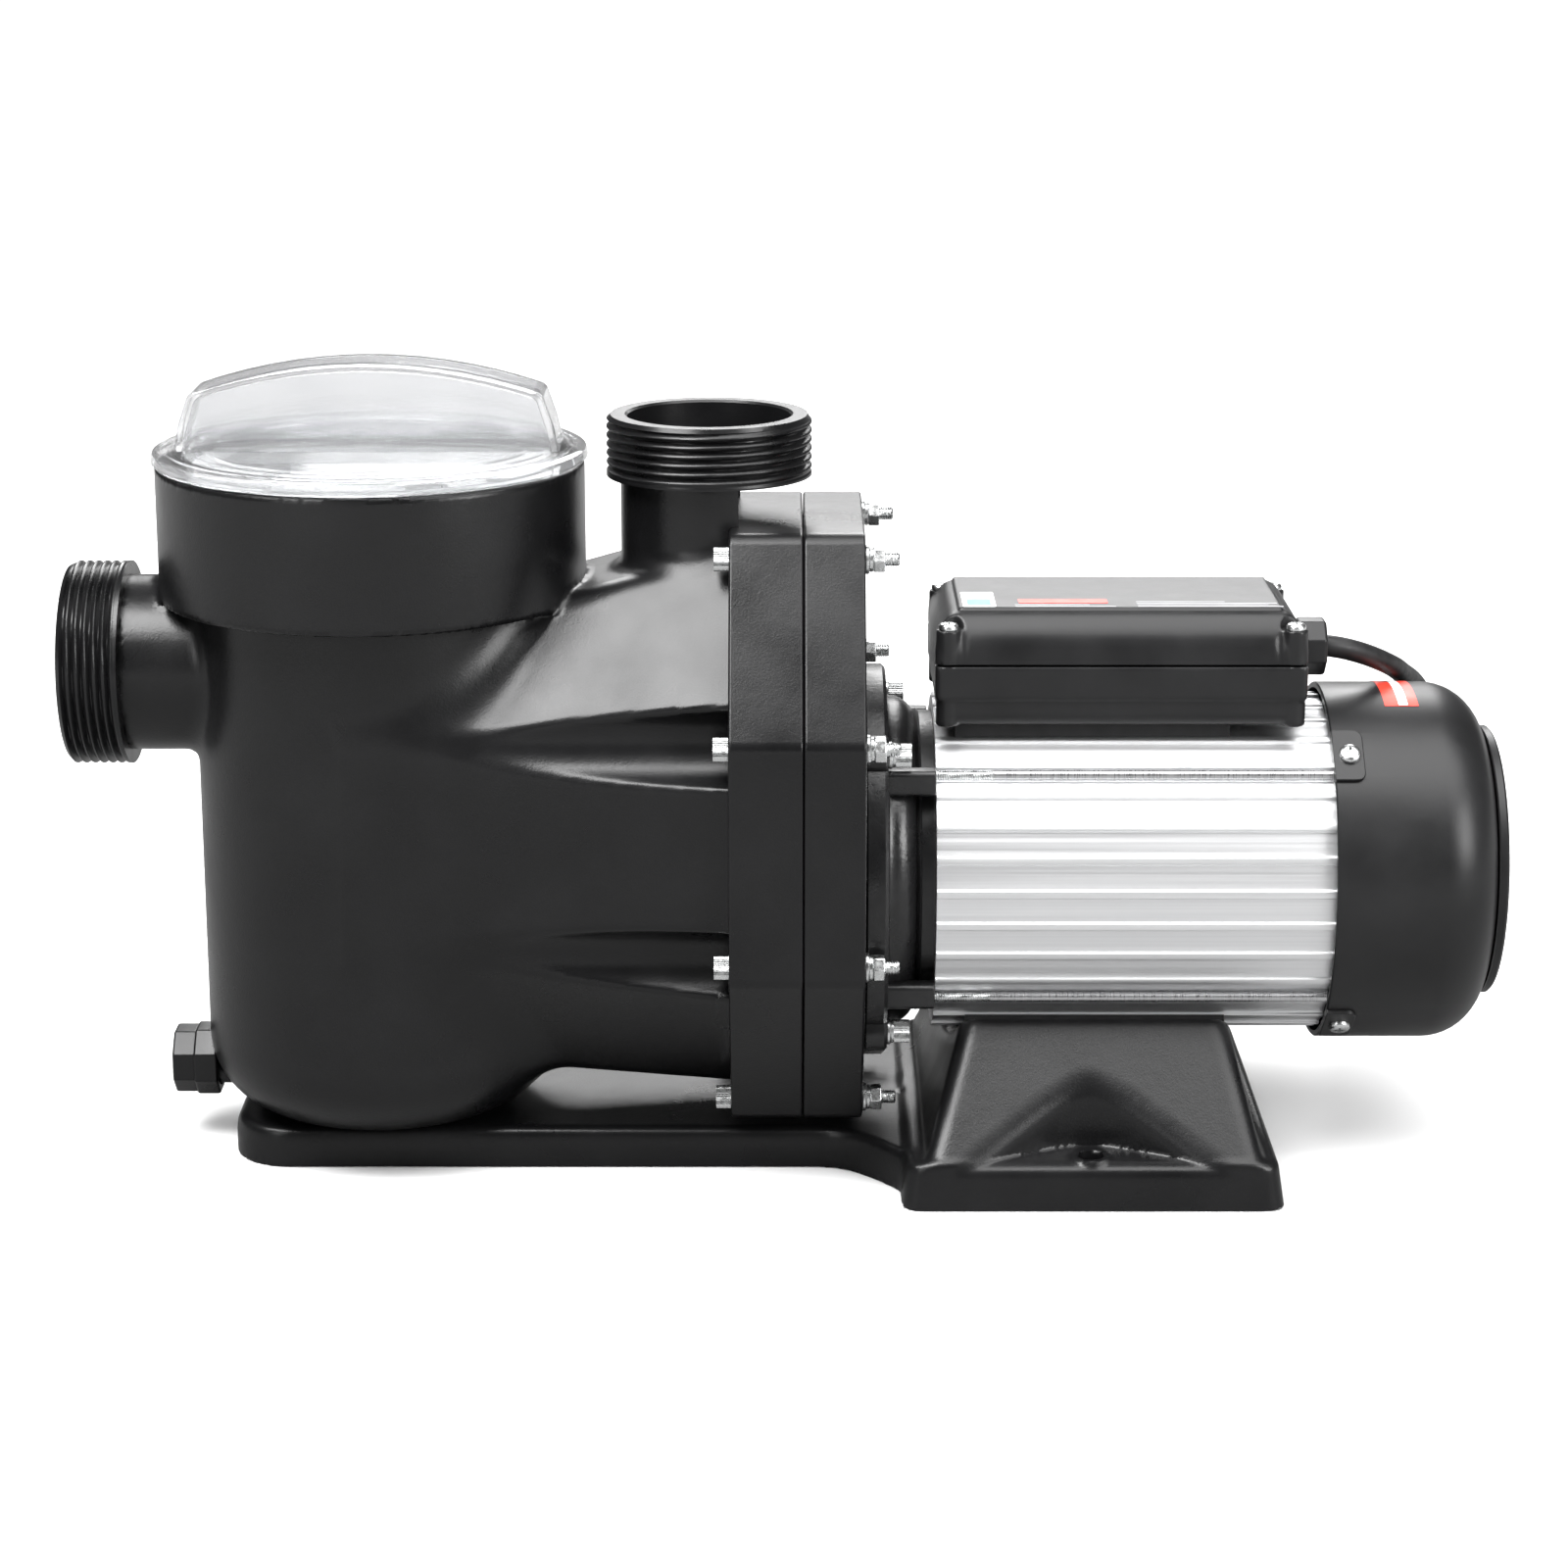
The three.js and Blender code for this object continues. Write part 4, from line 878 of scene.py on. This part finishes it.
def handle_side(inset):
    """Outline of the bar handle in the (z, x) plane: upright ends, rounded shoulders, arched top."""
    half, top, shoulder = HANDLE["half"] - inset, LID.z1 - inset, HANDLE["shoulder"] - inset
    across = np.linspace(HANDLE["arch"], -HANDLE["arch"], 15) * half / HANDLE["half"]
    tops = [(top - 12 * (x / 73) ** 2, POT_X + x) for x in across]
    feet = [(HANDLE["foot"], POT_X + half), (shoulder, POT_X + half - HANDLE["lean"])]
    last = (shoulder, POT_X - half + HANDLE["lean"])
    return rounded([(HANDLE["foot"], POT_X - half), *feet, *tops, last], [0, 0, 12, 5, *[0] * 13, 5, 12], 5)


def strainer_lid():
    """Clear screw lid: rounded plate with rings, skirt, and a hollow bar handle."""
    deck, plate = POT["rim"] + 0.3, (LID.x1 - LID.x0) / 2
    rings = []
    for radius in LID_RINGS:
        rings += [(radius + 1.4, LID_TOP), (radius + 0.9, LID_TOP + 0.6), (radius - 0.9, LID_TOP + 0.6),
                  (radius - 1.4, LID_TOP)]
    foot = SEAL.z1 + 0.4
    skirt = [(0, deck), (80, deck), (80, foot), (84, foot), (84, deck), (plate - 1.2, deck)]
    lip = [(plate, deck + 1.2), (plate, 308.6), (plate - 0.7, 310.2), (plate - 2.4, LID_TOP)]
    lid = revolved("strainer_lid_shell", [*skirt, *lip, *rings, (0, LID_TOP)], "z", (POT_X, 0, 0), 144)
    outside, inside = HANDLE["thick"], HANDLE["thick"] - HANDLE["wall"]
    handle = prism("handle", handle_side(0), -outside, outside, "y", 1.6)
    below = block("below", (-300, -60, 280), (-60, 60, deck + 0.01))
    hollow = prism("hollow", handle_side(HANDLE["wall"]), -inside, inside, "y", 0.8)
    cut(handle, below)
    joined(lid, handle)
    cut(lid, hollow)
    return dressed(weighted(lid, 40), "clear", "lid", nodes="strainer_lid")


BASKET_COLUMNS, BASKET_WALL = 96, 2.0


def strainer_basket():
    """Tapered basket with square holes, hung from a collar that stands on the ledge of the pot."""
    columns, floor, top = BASKET_COLUMNS, BASKET.z0 + 1, BASKET.z1 - 1
    rows = [(r, floor) for r in np.linspace(6, 50, 12)]
    rows += [(51 + 15 * (z - floor) / (top - floor), z) for z in np.linspace(floor + 3, top - 8, 53)]
    rim = len(rows)
    rows += [(67, top), (78, top), (78, SEAL.z0 + 1)]
    points = [(POT_X + r * math.cos(TURN * i / columns), r * math.sin(TURN * i / columns), z)
              for r, z in rows for i in range(columns)]
    faces = [list(range(columns))]
    for k in range(len(rows) - 1):
        low, high = k * columns, (k + 1) * columns
        for i in range(columns):
            hole = k % 2 and i % 2 and 2 < k < rim - 2 and k != 11
            if not hole:
                j = (i + 1) % columns
                faces.append([low + j, low + i, high + i, high + j])
    basket = mesh_object("basket_mesh", points, faces, 30)
    walls = basket.modifiers.new("walls", "SOLIDIFY")
    walls.thickness = BASKET_WALL * MM
    walls.offset = 0
    return dressed(smoothed(baked(basket), 30), "white_plastic", "basket", nodes="strainer_basket")


# ---------------------------------------------------------------- bolts and screws

HEX_SOCKET, HEX_NUT, KNURL, STUD_DEPTH = 2.9, 5.7, 0.25, 0.22


def socket_head(name, at, radius, outer, inner, teeth=36):
    """Knurled cap-screw head along X with a hex socket in its outer end."""
    rim = [(radius - KNURL * (i % 2), u, v) for i, (u, v) in enumerate(polygon(1, 2 * teeth))]
    outline = [(r * u, r * v) for r, u, v in rim]
    head = prism(name, outline, outer, inner, "x", at=at)
    depth = 3.2 if inner > outer else -3.2
    cut(head, prism("socket", polygon(HEX_SOCKET, 6), outer - depth / 4, outer + depth, "x", at=at))
    return head


def washer(name, at, radius, start, end, hole=3.0):
    profile = [(hole, start), (radius - 0.3, start), (radius, start + 0.3), (radius, end - 0.3),
               (radius - 0.3, end), (hole, end)]
    return revolved(name, profile, "x", at, 48, closed=True)


def stud(name, at, start, end, radius=3.0):
    """Screw thread as a fine helical ridge."""
    steps = np.linspace(start, end - 0.8, max(4, int((end - start) / 0.25)))

    def ridge(angle, r, station):
        depth = STUD_DEPTH if r > radius - 0.1 else 0
        return r + depth * (np.cos(TURN * station - angle) - 1)

    profile = [(0, start), *[(radius, s) for s in steps], (radius - 0.7, end), (0, end)]
    return revolved(name, profile, "x", at, 24, ridge, 40)


def flange_bolts():
    """Cap screws with a flat washer, a spring washer and a nut on the seal-plate side."""
    face = PLATE.x1
    for i in range(1, 9):
        node = Span(f"housing_bolt_{i}")
        at = (0, node.y, node.z)
        head = socket_head(f"flange_bolt_{i}", at, 5, node.x0, FLANGE_BACK - 0.1)
        nut = prism(f"bolt_nut_{i}", polygon(HEX_NUT, 6), face + 3.4, face + 8.2, "x", at=at)
        parts = [bevelled(nut, 0.45, 2), washer(f"bolt_washer_{i}", at, 6.2, face + 0.1, face + 1.6),
                 washer(f"bolt_spring_{i}", at, 5.3, face + 1.7, face + 3.3),
                 stud(f"bolt_end_{i}", at, face + 7, node.x1)]
        dressed(head, "zinc", nodes=f"housing_bolt_{i}")
        for part in parts:
            dressed(part, "zinc")


def flange_screws():
    """Cap screws with lock washers that hold the motor bracket to the seal plate."""
    seat = RING_DISC["to"] + 0.1
    for i in range(1, 5):
        node = Span(f"flange_screw_{i}")
        at = (0, node.y, node.z)
        head = socket_head(f"bracket_screw_{i}", at, 5, node.x1, seat + 3)
        dressed(head, "zinc", nodes=f"flange_screw_{i}")
        dressed(washer(f"bracket_washer_{i}", at, 5.8, seat, seat + 1.5), "zinc")
        dressed(washer(f"bracket_spring_{i}", at, 5.1, seat + 1.6, seat + 3), "zinc")


def pan_screw(name, node, turn, place, radius=4.2, height=2.6):
    """Cross-recessed pan head standing on the XY plane, turned and moved to its seat."""
    profile = [(0, 0), (radius, 0), (radius, 0.5 * height), (0.86 * radius, 0.83 * height),
               (0.5 * radius, 0.97 * height), (0, height)]
    head = revolved(name, profile, "z", segments=40, sharp=50)
    for wide, long in ((0.55, 2.4), (2.4, 0.55)):
        cut(head, block("recess", (-wide, -long, height - 1.5), (wide, long, height + 1)))
    head.data.transform(Matrix.Translation(Vector(place) * MM) @ turn)
    return dressed(smoothed(head, 45), "zinc", nodes=node)


def pan_screws():
    for i, angle in enumerate(COVER_SCREW_ANGLES, 1):
        y, z = round_shaft(COVER_SHELL["radius"] + 0.6, angle)
        turn = Matrix.Rotation(math.radians(angle - 90), 4, "X")
        pan_screw(f"cover_screw_head_{i}", f"cover_screw_{i}", turn.inverted(), (COVER.x0 + 7, y, z), 4.6)
    for i in range(1, 5):
        node = Span(f"box_screw_{i}")
        pan_screw(f"box_screw_head_{i}", f"box_screw_{i}", Matrix.Identity(4), (node.x, node.y, 239.6))


def tie_rods():
    for i, angle in enumerate(TIE_RODS["angles"], 1):
        node = Span(f"tie_rod_{i}")
        at = (0, *round_shaft(TIE_RODS["radius"], angle))
        bar = rod(f"tie_rod_bar_{i}", TIE_RODS["thick"], node.x0 + 24, node.x1, "x", at, 20)
        dressed(bar, "steel", nodes=f"tie_rod_{i}")
        dressed(stud(f"tie_rod_thread_{i}", at, node.x0, node.x0 + 25, 2.3), "zinc")


# ---------------------------------------------------------------- motor

def front_bracket():
    """Cast disc with four screw lobes, a domed bell behind it and bars to the tie rods."""
    disc, bell, neck = RING_DISC["radius"], RING_DISC["bell"], RING_DISC["neck"]
    start, flange_to, bell_to, end = BRACKET.x0, RING_DISC["to"], RING_DISC["bell_to"], MOTOR.x0 - 0.3
    shoulder = [(r, x) for x, r in arc(bell_to - 11, bell - 11, 11, 90, 20, 8)]
    profile = [(11, start), (disc - 1, start), (disc, start + 1), (disc, flange_to - 1.5),
               (disc - 1.5, flange_to), (bell + 2.5, flange_to), (bell + 0.7, flange_to + 0.7),
               (bell, flange_to + 2), *shoulder,
               (neck + 1, bell_to + 0.6), (neck, bell_to + 1.6), (neck, end), (neck - 4.5, end),
               (neck - 4.5, flange_to + 1), (29, flange_to + 1), (29, 57), (23.8, 57), (23.8, 41), (11, 41)]
    shell = revolved("motor_bracket", profile, "x", ON_SHAFT, 128, closed=True)
    lobe = [(0, start), (7.7, start), (8.5, start + 0.8), (8.5, flange_to - 1.2), (7.3, flange_to),
            (0, flange_to)]
    for angle in FLANGE_SCREWS["angles"]:
        at = (0, *round_shaft(FLANGE_SCREWS["radius"], angle))
        joined(shell, revolved("lobe", lobe, "x", at, 48))
    for angle in TIE_RODS["angles"]:
        y, z = round_shaft(TIE_RODS["radius"] - 3, angle)
        near, far = (0, 10) if y > 0 else (-10, 0)
        ear = rounded([(near, -5.5), (far, -5.5), (far, 5.5), (near, 5.5)], 2.5)
        joined(shell, prism("ear", ear, flange_to - 1, end, "x", 0.8, (0, y, z)))
    return dressed(weighted(shell), "cast_iron", nodes="front_bracket")


def motor_frame():
    """Finned extrusion: rounded ribs, a plain bore and four grooves for the tie rods."""
    low, high = FRAME["radius"] - FRAME["height"], FRAME["radius"]
    pitch = 360 / FRAME["ribs"]
    outline, radii = [], []
    for i in range(FRAME["ribs"]):
        start = FRAME["phase"] + pitch * i
        end = start + FRAME["width"]
        valley = [end + 0.2 + (pitch - FRAME["width"] - 0.4) * k / 4 for k in (1, 2, 3)]
        places = [(low, start - 0.2), (high, start), (high, end), (low, end + 0.2)]
        places += [(low, degrees) for degrees in valley]
        outline += [round_shaft(radius, degrees) for radius, degrees in places]
        radii += [0.5, 0.55, 0.55, 0.5, 0, 0, 0]
    extrusion = prism("motor_extrusion", rounded(outline, radii, 3), MOTOR.x0, MOTOR.x1, "x", sharp=50)
    start, end = MOTOR.x0 - 1, MOTOR.x1 + 1
    cut(extrusion, rod("bore", FRAME["inside"], start, end, "x", ON_SHAFT, 96))
    for angle in TIE_RODS["angles"]:
        at = (0, *round_shaft(TIE_RODS["radius"], angle))
        cut(extrusion, rod("groove", TIE_RODS["groove"], start, end, "x", at, 32))
    return dressed(smoothed(extrusion, 40), "aluminium", nodes="motor_frame")


def fan_cover():
    """Moulded cowl: round shoulder, four screw pads, air slots in the end disc."""
    radius, shoulder, corner, wall, disc = COVER_SHELL.values()
    start, end = COVER.x0, COVER.x1
    bend = [(r, x) for x, r in arc(shoulder - corner, radius - corner, corner, 90, 0, 12)]
    inner = [(r, x) for x, r in arc(shoulder - corner, radius - corner, corner - wall, 0, 90, 12)]
    profile = [(radius - wall, start), (radius - 0.6, start), (radius, start + 0.6), *bend,
               (disc + 0.8, shoulder), (disc, shoulder + 0.8), (disc, end - 1), (disc - 1, end), (0, end),
               (0, shoulder - wall), *inner]
    cowl = revolved("fan_cowl", profile, "x", ON_SHAFT, 128, closed=True)
    for angle in COVER_SCREW_ANGLES:
        outline = rounded([(start, -13), (start + 13, -13), (start + 13, 13), (start, 13)], [0.5, 4, 4, 0.5])
        pad = prism("screw_pad", outline, radius - wall - 0.5, radius + 0.7, "z", 0.6)
        pad.data.transform(Matrix.Translation((0, 0, AXIS_Z * MM))
                           @ Matrix.Rotation(math.radians(90 - angle), 4, "X"))
        joined(cowl, pad)
    for row in range(-36, 37, 12):
        reach = math.sqrt((disc - 8) ** 2 - row ** 2)
        for near, far in ((4, reach), (-reach, -4)):
            slot = rounded([(near, row - 3), (far, row - 3), (far, row + 3), (near, row + 3)], 2.9)
            cut(cowl, prism("air_slot", slot, shoulder - 5, end + 1, "x", at=ON_SHAFT))
    return dressed(weighted(cowl, 40), "motor_plastic", nodes="fan_cover")


# ---------------------------------------------------------------- terminal box

def box_field(x, y, z):
    """Lower half: straight walls over a slightly inset bottom with rounded corners and four feet."""
    upper = round_box(x, y, z, (BOX.x0, BOX.y0, 208.7), (BOX.x1, BOX.y1, BOX.z1 + 6), 2.5)
    low, high = (BOX.x0 + 1.1, BOX.y0 + 1.1, BOX.z0), (BOX.x1 - 1.1, BOX.y1 - 1.1, BOX.z1)
    lower = round_box(x, y, z, low, high, 6)
    skin = smooth_min(upper, lower, 0.6)
    for screw_x in BOX_SCREWS["x"]:
        post = round_bar(np.hypot(x - screw_x, np.abs(y) - BOX_SCREWS["y"]), z, 5, BOX.z0, BOX.z1, 1)
        skin = smooth_min(skin, post, 0.8)
    skin = np.maximum(skin, z - 224.0)
    hollow = round_box(x, y, z, (BOX.x0 + 11, BOX.y0 + 6, 205.2), (BOX.x1 - 11, BOX.y1 - 6, 240), 3)
    skin = smooth_max(skin, -hollow, 0.8)
    return smooth_max(skin, FRAME["radius"] + 2.1 - np.hypot(y, z - AXIS_Z), 0.8)


def box_lid_field(x, y, z):
    """Upper half: bulged sides, a slope up to a raised panel with rounded ends, notched screw columns."""
    side = np.abs(y)
    low, high = (BOX_LID.x0, BOX_LID.y0, BOX_LID.z0 - 8), (BOX_LID.x1, BOX_LID.y1, BOX_LID.z1 - 1)
    skin = round_box(x, y, z, low, high, 4)
    slope = ((z - 239.3) * 9 + (side - 42) * 7) / 11.4
    flank = ((side - 46) * 12 + (z - 229) * 4) / 12.65
    ends = ((np.abs(x - BOX_LID.x) - (BOX_LID.x1 - BOX_LID.x0) / 2 + 3) * 8 + (z - 240) * 6) / 10
    skin = smooth_max(smooth_max(smooth_max(skin, slope, 2.5), flank, 5), ends, 4)
    panel = round_box(x, y, z, (BOX_LID.x0 + 10, -32, 236), (BOX_LID.x1 - 10, 32, BOX_LID.z1), 1.2)
    skin = smooth_min(skin, panel, 0.6)
    for screw_x in BOX_SCREWS["x"]:
        reach = np.hypot(x - screw_x, side - BOX_SCREWS["y"])
        column = round_bar(reach, z, 5.2, BOX_LID.z0 - 5, 239.4, 0.8)
        seat = np.maximum(reach - 6.2, 239.4 - z)
        notch = np.hypot(np.abs(x - screw_x) - 6.6, side - BOX.y1 - 0.5 + (z - 230) * 0.3) - 2.4
        skin = smooth_max(smooth_min(smooth_max(skin, -seat, 0.8), column, 0.8), -notch, 0.8)
    hollow = round_box(x, y, z, (BOX_LID.x0 + 11, -35, 200), (BOX_LID.x1 - 11, 35, 238), 3)
    return smooth_max(np.maximum(skin, BOX_LID.z0 - z), -hollow, 0.8)


def terminal_box():
    for name, field, node, span in (("terminal_box_body", box_field, "terminal_box", BOX),
                                    ("terminal_box_cap", box_lid_field, "terminal_box_lid", BOX_LID)):
        low, high = (span.x0 - 3, span.y0 - 3, span.z0 - 3), (span.x1 + 3, span.y1 + 3, span.z1 + 3)
        dressed(moulding(name, field, low, high, GRID["box"], 50), "motor_plastic", nodes=node)


def gland():
    """Eight-sided gland nut with rounded edges round a rubber sleeve, and its collar against the box."""
    at = (0, 0, NUT.z)
    radius = (NUT.z1 - NUT.z0) / 2
    nut = prism("gland_cap", rounded(polygon(radius, 8, 0.5), 2, 3), NUT.x0, NUT.x1 - 0.2, "x", 1.8, at)
    cut(nut, rod("hollow", 6.2, NUT.x0 + 2, NUT.x1 + 2, "x", at))
    dressed(weighted(nut), "motor_plastic", nodes="gland_nut")
    inside, start, end = CORD_D / 2 + 0.1, NUT.x0 + 2.2, NUT.x1 + 0.4
    profile = [(inside, start), (6.1, start), (6.1, end - 0.9), (5.6, end), (inside, end)]
    dressed(revolved("gland_sleeve", profile, "x", at, 48, closed=True), "rubber")


PLATES = (
    ("rating_plate", "label_white", 76, 90, -31, -2),
    ("rating_mark", "label_blue", 78, 88, -28, -16),
    ("name_bar", "label_red", 100, 138, -24, -16),
)
PRINT_LINES = ((98, 141, 0), (98, 130, 1), (150, 212, 0), (150, 206, 1), (150, 210, 2), (150, 188, 3))


def labels():
    """Generic rating plate and marks, without words: thin plates on the terminal box lid's panel."""
    lines = [(f"print_line_{i}", "print_grey", start, end, -31 + 3 * row, -29.8 + 3 * row)
             for i, (start, end, row) in enumerate(PRINT_LINES)]
    for name, look, x0, x1, y0, y1 in (*PLATES, *lines):
        rise = 0.24 if look == "label_blue" else 0.16
        outline = rounded([(x0, y0), (x1, y0), (x1, y1), (x0, y1)], 0.7)
        dressed(prism(name, outline, BOX_LID.z1 - 0.3, BOX_LID.z1 + rise), look)


def cover_sticker():
    """Curved red sticker with a pale bar over the top of the fan cover."""
    radius = COVER_SHELL["radius"]
    for name, look, x0, x1, first, last, lift in (
            ("cover_sticker", "label_red", 258, 272.5, 73, 105, 0.15),
            ("cover_sticker_bar", "label_white", 264, 268, 73.5, 104.5, 0.25)):
        inner = arc(0, 0, radius - 0.3, 180 - first, 180 - last, 30)
        outer = arc(0, 0, radius + lift, 180 - last, 180 - first, 30)
        dressed(prism(name, inner + outer, x0, x1, "x", at=ON_SHAFT), look)


# ---------------------------------------------------------------- base

def base_field(x, y, z):
    """Foot with a tapered saddle, V-shaped pockets over the anchor holes, and a tongue under the pot."""
    side = np.abs(y)
    middle, half = (FOOT["from"] + BASE.x1) / 2, (BASE.x1 - FOOT["from"]) / 2
    lean = FOOT["draft"] * z / FOOT["top"]
    foot = smooth_max(np.abs(x - middle) - half + lean, side - BASE.y1 + lean, 9)
    foot = smooth_max(foot, z - FOOT["top"], 3)
    share = np.maximum(z - FOOT["top"], 0) / SADDLE["rise"]
    left = SADDLE["left"] + SADDLE["in_left"] * share - x
    right = x - SADDLE["right"] + SADDLE["in_right"] * share
    saddle = smooth_max(smooth_max(left, right, 4), side - SADDLE["half"] + SADDLE["in_side"] * share, 8)
    saddle = np.maximum(saddle * 0.93, z - FOOT["top"] - SADDLE["rise"])
    flare = np.clip((x - 11.8) / 44, 0, 1.2) ** 2.4 * (96 - FOOT["tongue"])
    tongue = round_box(x, side - flare, z, (BASE.x0, -FOOT["tongue"], -FOOT["end"] - 9),
                       (60, FOOT["tongue"], FOOT["end"] + 9), FOOT["end"])
    tongue = smooth_max(tongue * 0.85, z - FOOT["tongue_top"], 3)
    skin = smooth_min(smooth_min(foot, saddle, 3), tongue, 3)
    across = np.sqrt((x - ANCHOR["x"]) ** 2 + 130) - 7
    pocket = (POCKET["apex"] - side + across * POCKET["slope"]) / math.hypot(1, POCKET["slope"])
    from_anchor = np.hypot(x - ANCHOR["x"], side - ANCHOR["y"])
    rim = round_bar(from_anchor, z, ANCHOR["hole"] + 3.5, 10, FOOT["top"] + 1, 0.6)
    skin = smooth_max(skin, -smooth_max(pocket, FOOT["top"] - z, 1), 6)
    skin = smooth_max(smooth_min(skin, rim, 0.8), ANCHOR["hole"] - from_anchor, 0.8)
    skin = smooth_max(skin, 76.8 - np.hypot(y, z - AXIS_Z), 1.5)
    return np.maximum(skin, -z)


def base():
    low, high = (BASE.x0 - 4, BASE.y0 - 4, -4), (BASE.x1 + 4, BASE.y1 + 4, BASE.z1 + 4)
    dressed(moulding("pump_base", base_field, low, high, GRID["base"], 50), "black_plastic", nodes="base")
    pad = frame["nodes"]["motor_pad"]
    edges = pad.modifiers.new("edges", "BEVEL")
    edges.width, edges.segments = 0.6 * MM, 2


# ---------------------------------------------------------------- the rest of the frame

def finish_cad_nodes():
    """Materials for the pieces inside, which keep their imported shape."""
    slots = {part["node"]: part["material_slot"] for part in frame["record"]["subparts"]}
    for name, node in frame["nodes"].items():
        node.data.materials.clear()
        node.data.materials.append(LOOKS[slots[name]])
        smoothed(node, 30)


studio()
camera()
cord = power_cord()
tie, plug = coil_tie(), mains_plug()
pump_housing()
seal_plate()
drain_cap()
strainer_lid()
strainer_basket()
flange_bolts()
flange_screws()
tie_rods()
front_bracket()
motor_frame()
fan_cover()
terminal_box()
gland()
pan_screws()
labels()
cover_sticker()
base()
finish_cad_nodes()
